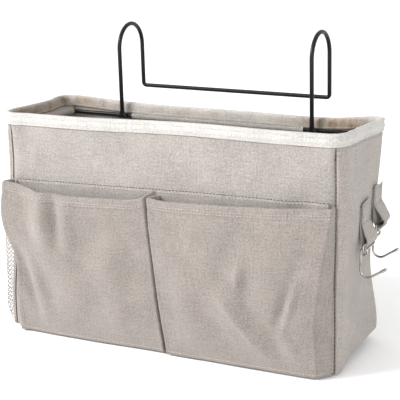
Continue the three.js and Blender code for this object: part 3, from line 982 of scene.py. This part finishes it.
def pocket(name, left, left_fold, right_fold, right, stand, hem, belly, folds):
    """One bellows pocket. left, left_fold, right_fold and right are curves of x by height for its
    sewn edges and folds, stand gives how far the folds stand off the panel, and hem the mouth's
    height by x; belly swells its face and folds are its creases."""
    share = POCKET_ROWS
    height = share * POCKET_TALL * MM
    edges = [through(height, *knots) for knots in (left, left_fold, right_fold, right)]
    offs = [
        SEWN_STAND - wall_depth(edges[0], height),
        through(height, *stand[0]),
        through(height, *stand[1]),
        SEWN_STAND - wall_depth(edges[3], height),
    ]
    bow = belly * MM * through(height, (0, 2), (30, 600), (110, 1000), (155, 820))[:, None]
    across, out = [], []
    for k, count in enumerate(COLUMNS):
        t = np.linspace(0, 1, count, endpoint=(k == 2))[None]
        across.append(edges[k][:, None] * (1 - t) + edges[k + 1][:, None] * t)
        off = offs[k][:, None] * (1 - t) + offs[k + 1][:, None] * t
        off = off + (bow if k == 1 else -0.12 * bow) * np.sin(math.pi * t) ** 0.8
        out.append(off)
    across, out = np.concatenate(across, 1), np.concatenate(out, 1)
    plan = softened(np.stack([across, out], -1), 2)
    across, out = plan[..., 0], plan[..., 1]
    # Each fold is pressed to an edge.
    ticks = np.arange(sum(COLUMNS))
    for fold in (COLUMNS[0], COLUMNS[0] + COLUMNS[1]):
        out = out + 1.5 * MM * np.exp(-(((ticks - fold) / 0.8) ** 2))
    z = share[:, None] * through(across, *hem)
    rest = np.stack([across, front_y(z) - out, z], -1)
    loose = smooth_step(0.004, 0.02, out) * smooth_step(0.0, 0.03, z)
    out = out - sum(hollow(rest, *fold) for fold in folds) * loose
    from_top = (1 - share) * POCKET_TALL * MM
    under_hem = from_top[:, None] - HEM - 1.6 * MM
    out = out - 0.9 * MM * np.exp(-((under_hem / (1.5 * MM)) ** 2)) * loose
    y = front_y(z) - out
    face = np.stack([across, y, z], -1)
    foot = []
    for drop, tuck in FOOT_TURN:
        line = face[0].copy()
        line[:, 1] = np.minimum(line[:, 1] + tuck * MM, FRONT[1] + 3.5 * MM)
        line[:, 2] = drop * MM
        foot.append(line)
    face[0, :, 2] = 1.3 * MM
    face = settle(np.concatenate([np.array(foot), face]))
    doubled = smooth_step(HEM + 0.5 * MM, HEM - 0.5 * MM, from_top)
    thick = POCKET_CLOTH * np.concatenate([np.ones(len(foot)), 1 + 1.1 * doubled])[:, None]
    made = cloth(name + "_cloth", face, thick * np.ones(face.shape[1]), pocket_canvas)
    fit(made, name)
    return face


def row_at(below):
    """The fractional row of a pocket's grid that lies that far below its mouth."""
    from_top = (1 - POCKET_ROWS) * POCKET_TALL * MM
    return len(FOOT_TURN) + np.interp(-below, -from_top, np.arange(len(POCKET_ROWS)))


left_face = pocket(
    "left_pocket",
    left=((0, -168), (155, -168)),
    left_fold=((0, -163.4), (40, -164.8), (74, -165.1), (84, -166.5), (93, -168.6),
               (104, -171.3), (116, -173.2), (155, -173.2)),
    right_fold=((0, 0.5), (40, -5), (85, -10.5), (125, -15), (155, -18.5)),
    right=((0, -2.5), (155, -11)),
    stand=(
        ((0, 10), (60, 12), (108, 16), (155, 12)),
        ((0, 9), (60, 11), (120, 12), (155, 13)),
    ),
    hem=((-182, 157), (-165, 155.5), (-148, 151.5), (-128, 149.3), (-90, 149.3), (-50, 150.3),
         (-30, 151.5), (-18, 155), (-9, 162)),
    belly=7.0,
    folds=[
        (-117, 126, 7, 27, 6.5, -0.16),
        (-131, 126, 11, 32, -5.5, -0.1),
        (-150, 118, 8, 40, 1.5, -0.1),
        (-101, 126, 9, 24, -2.0),
        (-153, 52, 5.5, 36, 7.5, -0.28),
        (-141, 60, 7, 34, -4.0, -0.28),
        (-128, 36, 10, 30, 2.2, -0.35),
        (-104, 66, 16, 26, -3.0, -0.2),
        (-78, 100, 20, 20, 3.6, 0.3),
        (-56, 74, 14, 26, -3.2, -0.4),
        (-34, 98, 12, 30, 3.0, -0.3),
        (-84, 26, 16, 20, 2.6, 0.5),
        (-44, 26, 13, 22, -2.6, -0.3),
    ],
)
right_face = pocket(
    "right_pocket",
    left=((0, 0.5), (155, -8)),
    left_fold=((0, 3.5), (40, -2), (85, -7), (125, -12), (155, -14.5)),
    right_fold=((0, 159.5), (45, 158.5), (102, 164.5), (155, 171.5)),
    right=((0, 170), (155, 170)),
    stand=(
        ((0, 10.5), (60, 14), (120, 16), (155, 15.5)),
        ((0, 10.5), (48, 13), (104, 12.5), (155, 7.5)),
    ),
    hem=((-16, 156.5), (-4, 154.4), (7, 153.8), (34, 155), (85, 156.8), (134, 158.6), (172, 160.6)),
    belly=6.0,
    folds=[
        (83, 90, 3.6, 11, -3.6, 0.1),
        (92, 82, 10, 26, 3.4, 0.1),
        (66, 98, 13, 24, 4.6, 0.3),
        (90, 40, 7, 32, -6.0, -0.85),
        (107, 46, 9, 26, 4.8, -0.8),
        (62, 36, 13, 24, 3.6, -0.7),
        (135, 70, 3.6, 22, -4.6, 0.3),
        (126, 62, 6, 26, 5.0, 0.3),
        (138, 22, 6, 20, -3.4, -0.5),
        (124, 16, 7, 18, 2.6, -0.5),
        (28, 64, 14, 34, -3.0, -0.2),
        (10, 44, 9, 34, 2.4, -0.15),
        (44, 112, 14, 22, 2.6, 0.4),
        (112, 116, 18, 16, -2.4),
        (146, 118, 9, 26, 2.8, 0.15),
        (22, 126, 10, 22, 2.0, -0.2),
    ],
)


def hem_stitches():
    rows, shadows, feet = [], [], []
    for face in (left_face, right_face):
        columns = np.arange(3, face.shape[1] - 3.0, 0.5)
        for below in (HEM - 1.0 * MM, HEM - 3.6 * MM):
            at = row_at(below)
            rows.append(sampled(face, at, columns, 0.1 * MM))
            shadows.append(sampled(face, at - 0.16, columns, 0.02 * MM))
        columns = np.arange(5, face.shape[1] - 5.0, 0.5)
        feet.append(sampled(face, len(FOOT_TURN) + 1.05, columns, 0.1 * MM))
    stitches("pocket_hem_stitches", "pocket_canvas", rows, cream_thread, 3.3, 2.1, 0.26, 3)
    # Grey thread just under the hem rows: painted shade of the needle holes.
    stitches("pocket_hem_hole_painted_shade", "pocket_canvas", shadows, grey_thread_and_shade, 3.3, 1.2, 0.26, 15)
    stitches("pocket_foot_stitches", "pocket_canvas", feet, cream_thread, 2.9, 2.2, 0.3, 4)


hem_stitches()


# ---- Seam above the pockets, and the panels' stitches ----

SEAM_LINE = ((-172, 156.2), (-60, 159.2), (60, 162.4), (172, 163.2))


def seam_above_pockets():
    """The pockets' backing, whose folded top edge is sewn across the front panel."""
    lap = np.linspace(4.93, 6.07, 130)
    flat = wall(lap, 0.16)
    line = through(flat[:, 0], *SEAM_LINE)
    drops = np.array([34, 26, 18, 10, 5, 2.5, 1.2, 0.4, 0]) * MM
    z = line[None] - drops[:, None]
    proud = -np.array([0.75, 0.8, 0.8, 0.85, 0.9, 0.95, 1.0, 0.9, 0.6])[:, None] * MM
    face = settle(wall(lap[None], z, proud))
    made = cloth("pocket_backing", face, 0.7 * MM, canvas)
    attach(made, "caddy")
    inner = lap[3:-3]
    seam = through(wall(inner, 0.16)[:, 0], *SEAM_LINE)
    row = settle(wall(inner, seam - 1.6 * MM, -1.15 * MM))
    stitches("backing_stitches", "canvas", [row], cream_thread, 3.6, 2.2, 0.34, 5)
    # Dark brown thread along the seam's edge: painted shadow under the backing's folded top edge and in
    # its needle holes.
    row = settle(wall(inner, seam + 0.3 * MM, -0.1 * MM))
    stitches("backing_edge_painted_shadow", "canvas", [row], brown_thread_and_shadow, 3.6, 2.9, 0.5, 6)


seam_above_pockets()


# Rows round the binding: name, drop from the rim, inset, thread, pitch, stitch, radius and seed
RIM_ROWS = [
    ("binding_stitches", 10.3, -0.9, cream_thread, 3.3, 2.5, 0.33, 7),
    # Dark brown stitches at the tape's lower edge, made thick and dark: real stitches and a painted
    # shadow line under the edge.
    ("rim_seam_stitches", 12.15, -0.35, brown_thread_and_shadow, 4.1, 3.5, 0.5, 8),
    # A fine grey thread row on the tape's crease: painted shade along the crease.
    ("binding_fold_stitches", 4.2, -0.72, grey_thread_and_shade, 3.1, 2.0, 0.17, 17),
    ("binding_inner_stitches", 9.8, 3.35, cream_thread, 3.3, 2.4, 0.3, 9),
]


def rim_stitches():
    lap = laps(0, 8, 2.2 * MM, crowd=False)
    wave = 0.15 * MM * np.sin(lap * 40)
    for name, drop, inset, *thread in RIM_ROWS:
        row = settle(wall(lap, TOP - drop * MM + wave, inset * MM))
        stitches(name, "binding_tape", [row], *thread)


rim_stitches()


def corner_seam():
    """A dark thread row in the groove where the right side panel meets the front one: painted shadow of
    the groove.
    """
    heights = np.linspace(5 * MM, TOP - 12 * MM, 90)
    row = settle(wall(FRONT_SEAM_RIGHT, heights, 0.9 * MM))
    stitches("corner_seam_painted_shadow", "canvas", [row], brown_thread_and_shadow, 3.9, 3.5, 0.42, 16)


corner_seam()


def casing_stitches():
    """Thread that shows outside where the wire's casings are sewn through the walls."""
    side = laps(6.97, 8.35, 2.5 * MM, crowd=False)
    rear = laps(1.02, 1.98, 3 * MM, crowd=False)
    rise = np.linspace(TOP - 12.5 * MM, TOP - 29 * MM, 8)
    routes = [(side, TOP - 15.0 * MM), (7.2, rise), (rear, TOP - 12.9 * MM), (rear, TOP - 28.6 * MM)]
    rows = [settle(wall(lap, z, -0.05 * MM)) for lap, z in routes]
    stitches("casing_stitches", "canvas", rows, grey_thread_and_shade, 3.3, 2.4, 0.32, 10)


casing_stitches()


# ---- Inside: casings, seam tapes, base and board ----


def strip_inside(name, start, end, profile, material, step, replaced, flat):
    """A strip sewn inside the wall; profile is (inset, z) from its lower edge up. Where it
    wraps the hoop it stays on the hoop, however the wall sags."""
    lap = laps(start, end, step, crowd=False)
    inset, z = np.array(profile).T
    cut = wall(lap[None], z[:, None], inset[:, None])
    face = settle(cut)
    hold = smooth_step(4.5 * MM, 5.6 * MM, inset)[:, None, None]
    face = face + (cut - face) * hold
    made = cloth(name, face, LINING, material, side=-1)
    fit(made, replaced)


def casing_profile():
    near = WIRE + 1.3 * MM
    low = HOOP_Z - 13 * MM
    sewn = SEAM_INSET + LINING
    rows = [(sewn, low), (sewn, low + 2 * MM), (sewn, low + 4 * MM), (sewn + 0.3 * MM, low + 6 * MM)]
    for turn in np.linspace(-64, 62, 9):
        angle = math.radians(turn)
        rows.append((HOOP_INSET + near * math.cos(angle), HOOP_Z + near * math.sin(angle)))
    rows.append((sewn + 0.2 * MM, HOOP_Z + 3.9 * MM))
    return rows


def casings():
    window = 62 / 90  # the front casing's ends, on the back corners
    profile = casing_profile()
    flat = (0.56, 0.024)
    ends = 3 - window, 8 + window
    strip_inside("front_casing_cloth", *ends, profile, lining, 3 * MM, "front_casing", flat)
    back_run = 2 * (HALF_WIDTH[0] - RIM_CORNER)
    half = rear_casing_high.x / back_run
    flat = (0.194, 0.024)
    ends = 1.5 - half, 1.5 + half
    strip_inside("rear_casing_cloth", *ends, profile, canvas, 3 * MM, "rear_casing", flat)
    rows = []
    start, end = ends[0] + 0.012, ends[1] - 0.012
    lap = laps(start, end, 3 * MM, crowd=False)
    for z, inset in ((HOOP_Z - 11 * MM, 2.85), (HOOP_Z + 2.6 * MM, 6.2)):
        line = wall(lap, z, inset * MM)
        rows.append(line if inset > 5 else settle(line))
    inset, z = np.array(profile[5:-2]).T
    rows += [wall(place, z, inset + 0.1 * MM) for place in (start, end)]
    stitches("rear_casing_stitches", "lining", rows, brown_thread_and_shadow, 3.2, 2.4, 0.28, 11)


casings()


def seam_tapes():
    low, high = board_high.z + 0.3 * MM, HOOP_Z - 13.3 * MM
    seams = {
        "right_rear": BACK_SEAM_RIGHT,
        "left_rear": BACK_SEAM_LEFT,
        "left_front": FRONT_SEAM_LEFT,
        "right_front": FRONT_SEAM_RIGHT,
    }
    half = 0.30  # of a corner's lap
    inset = SEAM_INSET + LINING + 0.1 * MM
    profile = [(inset, z) for z in np.linspace(low, high, 40)]
    for name, lap in seams.items():
        start, end = max(lap - half, math.floor(lap)), min(lap + half, math.floor(lap) + 1)
        node = name + "_seam_tape"
        strip_inside(node + "_cloth", start, end, profile, lining, 1.2 * MM, node, (0.012, 0.185))


seam_tapes()


PLATE_RINGS = 16


def plate(name, inset, low, high, material):
    """A flat cloth-covered plate that fills the bag's outline at its foot, with rounded edges."""
    lap = laps(0, 8, 5 * MM, crowd=False)[:-1]
    outline = wall(lap, low, inset)
    middle = np.array([0, (FRONT[1] + BACK[1]) / 2, 0])
    edge = (high - low) / 2
    rows = []
    for share in np.linspace(0.0, 1, PLATE_RINGS):
        ring = middle + (outline - middle) * share
        ring[:, 2] = high - (0.25 * edge if share == 1 else 0)
        rows.append(ring)
    face = settle(np.array(rows))
    made = cloth(name, face, high - low, material, closed=True, side=1)
    mesh = bmesh.new()
    mesh.from_mesh(made.data)
    bmesh.ops.remove_doubles(mesh, verts=mesh.verts, dist=1e-7)
    bmesh.ops.dissolve_degenerate(mesh, edges=mesh.edges, dist=1e-7)
    bmesh.ops.recalc_face_normals(mesh, faces=mesh.faces)
    mesh.to_mesh(made.data)
    mesh.free()
    made.data.shade_smooth()
    return made


base = plate("base_panel_cloth", FOOT_ROUND + 0.8 * MM, 0.2 * MM, 1.7 * MM, canvas)
fit(base, "base_panel")
board_inset = HALF_WIDTH[1] - board_high.x
board = plate("base_board_cloth", board_inset, board_low.z, board_high.z, board_cloth)
fit(board, "base_board")


# ---- Hanger ----

HANGER_X = hanger_high.x - WIRE
RISER_Y = hoop_high.y - 3 * WIRE - 0.3 * MM
ARCH_TOP = hanger_high.z - WIRE
LEG_Y = hanger_high.y - WIRE
CROSSBAR_Z = TOP + 8 * MM
CROSSBAR_BEND = 3.4 * MM
COAT = 0.15 * MM  # powder coating on the wire


def hanger():
    radius = (LEG_Y - RISER_Y) / 2
    route = []
    for x, order in ((-HANGER_X, 1), (HANGER_X, -1)):
        hook = [(x, RISER_Y, z) for z in np.linspace(HOOP_Z, ARCH_TOP - radius, 12)[:-1]]
        for turn in np.linspace(math.pi, 0, 33):
            y = RISER_Y + radius * (1 + math.cos(turn))
            hook.append((x, y, ARCH_TOP - radius + radius * math.sin(turn)))
        foot = CROSSBAR_Z + CROSSBAR_BEND
        hook += [(x, LEG_Y, z) for z in np.linspace(ARCH_TOP - radius, foot, 10)[1:]]
        centre = x - math.copysign(CROSSBAR_BEND, x)
        for turn in np.linspace(0, math.pi / 2, 7)[1:]:
            reach = CROSSBAR_BEND * math.cos(turn)
            hook.append((centre + math.copysign(reach, x), LEG_Y, foot - CROSSBAR_BEND * math.sin(turn)))
        route += hook[::order]
    parts = [tube("hanger_wire", route, WIRE + COAT, black_coat, sides=20)]
    for x in (-HANGER_X, HANGER_X):
        parts.append(weld_flare(x))
        parts.append(weld_bead(x))
    made = joined("wire_hanger_rods", parts)
    fit(made, "wire_hanger")


WELD_SPREAD, WELD_RISE = 4.6 * MM, 11 * MM


def weld_flare(x):
    """The riser's foot, spread along the hoop where it is welded."""
    rows = []
    angles = np.linspace(0, 2 * math.pi, 24, endpoint=False)
    for share in np.linspace(0, 1, 10):
        spread = WIRE * 1.02 + WELD_SPREAD * (1 - share) ** 2.6
        z = HOOP_Z - WIRE * 0.9 + WELD_RISE * share
        ring = [(x + spread * math.cos(a), RISER_Y + WIRE * 1.02 * math.sin(a), z) for a in angles]
        rows.append(ring)
    rows = np.array(rows)
    points = rows.reshape(-1, 3)
    count = len(angles)
    faces = []
    for i in range(len(rows) - 1):
        for j in range(count):
            m = (j + 1) % count
            low, high = i * count, (i + 1) * count
            faces.append([low + j, low + m, high + m, high + j])
    faces.append(list(range(count))[::-1])
    faces.append([(len(rows) - 1) * count + j for j in range(count)])
    if signed_volume(points, faces) < 0:
        faces = [f[::-1] for f in faces]
    return make_object("weld_flare", points, faces, None, black_coat)


def weld_bead(x):
    """A lumpy bead of weld between the riser's foot and the hoop."""
    places = np.linspace(-5.2, 5.2, 22) * MM
    y = (RISER_Y + hoop_high.y - WIRE) / 2
    lumps = 1.1 * MM + 0.22 * MM * np.sin(places * 2600 + x * 100)
    lumps *= np.sqrt(np.clip(1 - (places / (5.6 * MM)) ** 2, 0.05, 1))
    route = [(x + p, y, HOOP_Z + 0.8 * MM) for p in places]
    return tube("weld_bead", route, lumps, black_coat, sides=10)


hanger()


# ---- Mesh pocket on the left side ----

MESH_FRONT, MESH_REAR = -51 * MM, hem_high.y
MESH_TOP = hem_high.z
MESH_ROUND = 4.5 * MM


def net_surface(u, z, extra=0.0):
    """A point on the net: u runs from its front edge to its rear one, z is its height."""
    u, z = np.broadcast_arrays(np.asarray(u, float), np.asarray(z, float))
    stand = through(z, (-2, 11), (8, 14.5), (45, 14.5), (85, 12.8), (124, 11)) + extra
    length = MESH_REAR - MESH_FRONT
    reach = stand - MESH_ROUND
    arc = MESH_ROUND * math.pi / 2
    total = 2 * (np.maximum(reach, 0) + arc) + length - 2 * MESH_ROUND
    s = u * total
    legs = np.maximum(reach, 0)
    flat = length - 2 * MESH_ROUND
    small = np.minimum(MESH_ROUND, stand)

    def turned(angle):
        return small * np.cos(angle), small * np.sin(angle)

    first = np.clip((s - legs) / arc, 0, 1) * math.pi / 2
    last = np.clip((s - legs - arc - flat) / arc, 0, 1) * math.pi / 2
    y = MESH_FRONT + MESH_ROUND - turned(first)[0]
    y = y + np.clip(s - legs - arc, 0, flat) + turned(last)[1]
    out = np.minimum(s, legs) + turned(first)[1] - (small - turned(last)[0])
    out = out - np.clip(s - legs - 2 * arc - flat, 0, None)
    bag = 1.0 * MM * np.sin(u * math.pi) * np.sin(z / MESH_TOP * math.pi)
    wave = 0.7 * MM * np.sin(z * 90 + u * 9) * np.sin(u * math.pi)
    x = -half_width(z) - np.maximum(out, 0.2 * MM) - bag - wave
    return settle(np.stack([x, y, z], -1))


def mesh_pocket():
    cell, rise = 4.0 * MM, 4.7 * MM
    around = 122 * MM
    count = int(around / cell)
    base_z, top_z = -0.5 * MM, MESH_TOP - 7 * MM
    steps = int((top_z - base_z) / rise) * 4
    z = np.linspace(base_z, top_z, steps + 1)
    swing = np.array([0.0, 0.5, 1.0, 0.5])[np.arange(steps + 1) % 4]
    strands = []
    for i in range(count + 1):
        sign = 1 if i % 2 else -1
        u = (i + sign * (swing - 0.5) * 0.92) / count
        strands.append(net_surface(np.clip(u, 0, 1), z))
    made = net.run("mesh_pocket_net", strands, {"Yarn": 0.38 * MM, "Sides": 6, "Material": net_yarn})
    fit(made, "mesh_pocket")
    u = np.linspace(0, 1, 70)
    rows = np.linspace(MESH_TOP - 9.5 * MM, MESH_TOP - 0.5 * MM, 9)
    face = net_surface(u[None], rows[:, None], 1.1 * MM)
    hem = cloth("mesh_pocket_hem_tape", face, 1.6 * MM, tape, side=-1)
    fit(hem, "mesh_pocket_hem")
    rows = [net_surface(u[2:-2], MESH_TOP - drop * MM, 1.2 * MM) for drop in (2.0, 8.2)]
    stitches("mesh_hem_stitches", "binding_tape", rows, cream_thread, 3.0, 2.2, 0.3, 12)


mesh_pocket()


# ---- Side loops, links and hooks ----

joints = {j["name"]: Vector(j["pos_m"]) for j in frame["joints"]}
LOOP_HALF = 11.6 * MM  # half of a strap's width
LOOP_CLOTH = 0.95 * MM
LOOP_SEWN = 3.0  # how far down the strap's grid its stitched box starts, in points
LINK_CORNER = 2.4 * MM


def side_loop(name, flare, twist, gable):
    """A folded strap sewn to the side; flare is how far its fold stands off the wall."""
    low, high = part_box(name + "_side_loop")
    fold = low.z
    length = high.z - low.z
    y0 = (low.y + high.y) / 2
    bar = joints[name + "_link_swing"].x - low.x
    # The seen layer from its top down to the fold, and the other layer back up the wall.
    path = [(2.8, 1.0), (2.8, 0.86), (2.75, 0.70), (2.8, 0.53)]
    knots = [(p * MM, q * length) for p, q in path]
    lower = [(flare * 0.62, 0.32), (flare, 0.14), (flare * 0.93, 0.06)]
    knots += [(p * MM, q * length) for p, q in lower]
    knots += [(bar + 0.9 * MM, -1.2 * MM), (bar - 2.4 * MM, -0.8 * MM), (1.3 * MM, 5 * MM)]
    knots += [(0.7 * MM, 0.3 * length), (0.6 * MM, 0.55 * length), (0.6 * MM, 0.93 * length)]
    knots = np.array(knots)
    ticks = np.arange(len(knots))
    fine = np.linspace(0, len(knots) - 1, 90)
    out = np.interp(fine, ticks, knots[:, 0])
    up = np.interp(fine, ticks, knots[:, 1])
    for _ in range(3):
        out[1:-1] = out[1:-1] * 0.5 + (out[:-2] + out[2:]) * 0.25
        up[1:-1] = up[1:-1] * 0.5 + (up[:-2] + up[2:]) * 0.25
    y = np.linspace(-LOOP_HALF, LOOP_HALF, 17)
    share = y / LOOP_HALF
    peak = gable * MM * (1 - np.abs(share - 0.35) / 1.35)
    high_part = smooth_step(0.55 * length, length, up)[:, None]
    rise = peak[None] * high_part
    skew = twist * MM * share[None] * smooth_step(0.5 * length, 0.15 * length, up)[:, None]
    skew = skew * (out[:, None] > 2.6 * MM)
    x = half_width(fold + length) + out[:, None] + skew - 0.25 * MM * (share[None] ** 8)
    z = fold + up[:, None] + rise
    face = np.stack(np.broadcast_arrays(x, y0 + y[None], z), -1)
    pull = settle(face) - face
    hold = smooth_step(0.35 * length, 0.6 * length, up)[:, None, None]
    face = face + pull * hold
    made = cloth(name + "_side_loop_cloth", face, LOOP_CLOTH, side_canvas, side=-1)
    fit(made, name + "_side_loop")
    wide = np.array([-0.8, 0.8]) * LOOP_HALF
    columns = (wide + LOOP_HALF) / (2 * LOOP_HALF) * 16
    last = float(np.interp(3.0, fine, np.arange(len(fine))))
    box = (LOOP_SEWN, last)
    rows = [sampled(face, np.linspace(*box, 12), c, 0.1 * MM, -1) for c in columns]
    rows += [sampled(face, r, np.linspace(*columns, 12), 0.1 * MM, -1) for r in box]
    stitches(name + "_loop_stitches", "canvas", rows, grey_thread_and_shade, 3.0, 2.2, 0.34, 13)


side_loop("front", flare=9.4, twist=1.2, gable=2.2)
side_loop("rear", flare=12.0, twist=-1.0, gable=-2.0)


def rounded(corners, radius, steps=8, closed=False):
    """A route through corners, each rounded to the radius."""
    corners = [np.array(c, float) for c in corners]
    count = len(corners)
    route = []
    for i, point in enumerate(corners):
        if not closed and i in (0, count - 1):
            route.append(point)
            continue
        back = corners[i - 1] - point
        on = corners[(i + 1) % count] - point
        back, on = back / np.linalg.norm(back), on / np.linalg.norm(on)
        half = math.acos(float(np.clip(back @ on, -1, 1))) / 2
        middle = (back + on) / np.linalg.norm(back + on)
        centre = point + middle * radius / math.sin(half)
        start = point + back * radius / math.tan(half) - centre
        end = point + on * radius / math.tan(half) - centre
        sweep = math.pi - 2 * half
        for k in range(steps + 1):
            t = k / steps
            a, b = math.sin((1 - t) * sweep) / math.sin(sweep), math.sin(t * sweep) / math.sin(sweep)
            route.append(centre + start * a + end * b)
    return np.array(route)


def link(name):
    low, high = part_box(name + "_link")
    x = joints[name + "_link_swing"].x
    y_low, y_high = low.y + THIN_WIRE, high.y - THIN_WIRE
    z_low, z_high = low.z + THIN_WIRE, high.z - THIN_WIRE
    corners = [(x, y_low, z_low), (x, y_high, z_low), (x, y_high, z_high), (x, y_low, z_high)]
    route = rounded(corners, LINK_CORNER, closed=True)
    made = tube(name + "_link_wire", route, THIN_WIRE * 1.06, bright_nickel, sides=14, closed=True)
    fit(made, name + "_link", name + "_link")


HOOK_EYE = 3.2 * MM  # the eye's radius, to the middle of its wire
HOOK_DROP = 31 * MM
HOOK_BEND = 7 * MM
HOOK_TIP = 21 * MM, -15 * MM  # out from the eye, and below it


def swinging_hook(name):
    eye = np.array(joints[name + "_hook_swing"])
    turns = np.radians(np.linspace(-100, 180, 29)[:-1])
    route = [eye + (HOOK_EYE * math.cos(t), 0, HOOK_EYE * math.sin(t)) for t in turns]
    arm = [(-HOOK_EYE, 0, 0), (-HOOK_EYE - 0.4 * MM, 0, -HOOK_DROP), (HOOK_TIP[0], 0, HOOK_TIP[1])]
    arm = rounded(arm, HOOK_BEND, steps=16)
    route += [eye + p for p in arm]
    route = np.array(route)
    steps = np.linalg.norm(np.diff(route, axis=0), axis=1)
    along = np.concatenate([[0], np.cumsum(steps)])
    fine = np.linspace(0, along[-1], 110)
    route = np.stack([np.interp(fine, along, route[:, k]) for k in range(3)], -1)
    from_tip = along[-1] - fine
    thick = THIN_WIRE * (1.08 + 0.3 * smooth_step(5.2 * MM, 4.0 * MM, from_tip))
    made = tube(name + "_hook_wire", route, thick, bright_nickel, sides=14)
    fit(made, name + "_hook", name + "_hook")


for loop_name in ("front", "rear"):
    link(loop_name)
    swinging_hook(loop_name)


# ---- Light and floor ----


LIT_POINT = (0, 0, 0.1)
# Name, place, what it points at, size across in metres, power in watts and colour
LAMPS = [
    ("key", (-2.0, -1.5, 1.7), LIT_POINT, 1.0, 112, (1.0, 0.99, 0.975)),
    ("fill", (1.9, -1.9, 0.9), LIT_POINT, 1.8, 28, (1.0, 0.99, 0.98)),
]
FLOOR_REACH, FLOOR_DROP = 12.0, 2.0 * MM
WORLD_STRENGTH = 1.02


def area_light(name, place, target, size, power, colour):
    data = bpy.data.lights.new(name, "AREA")
    data.shape = "DISK"
    data.size = size
    data.energy = power
    data.color = colour
    lamp = bpy.data.objects.new(name, data)
    bpy.context.scene.collection.objects.link(lamp)
    lamp.location = place
    lamp.rotation_mode = "QUATERNION"
    lamp.rotation_quaternion = (Vector(target) - Vector(place)).to_track_quat("-Z", "Y")


def studio():
    finish = Finish("floor", Roughness=0.9)
    tone = finish.noise(finish.place("Object"), 2.0)
    finish.drive("Base Color", finish.mix(tone, (0.90, 0.90, 0.90, 1), (0.92, 0.92, 0.92, 1)))
    turns = ((-1, -1), (1, -1), (1, 1), (-1, 1))
    corners = [(x * FLOOR_REACH, y * FLOOR_REACH, -FLOOR_DROP) for x, y in turns]
    floor = make_object("floor", corners, [[0, 1, 2, 3]], None, finish.material)
    world = bpy.data.worlds.new("studio")
    world.use_nodes = True
    world.node_tree.nodes["Background"].inputs["Color"].default_value = (1.0, 1.0, 1.0, 1)
    world.node_tree.nodes["Background"].inputs["Strength"].default_value = WORLD_STRENGTH
    bpy.context.scene.world = world
    for lamp in LAMPS:
        area_light(*lamp)
    bpy.context.scene.view_settings.view_transform = "Standard"


studio()
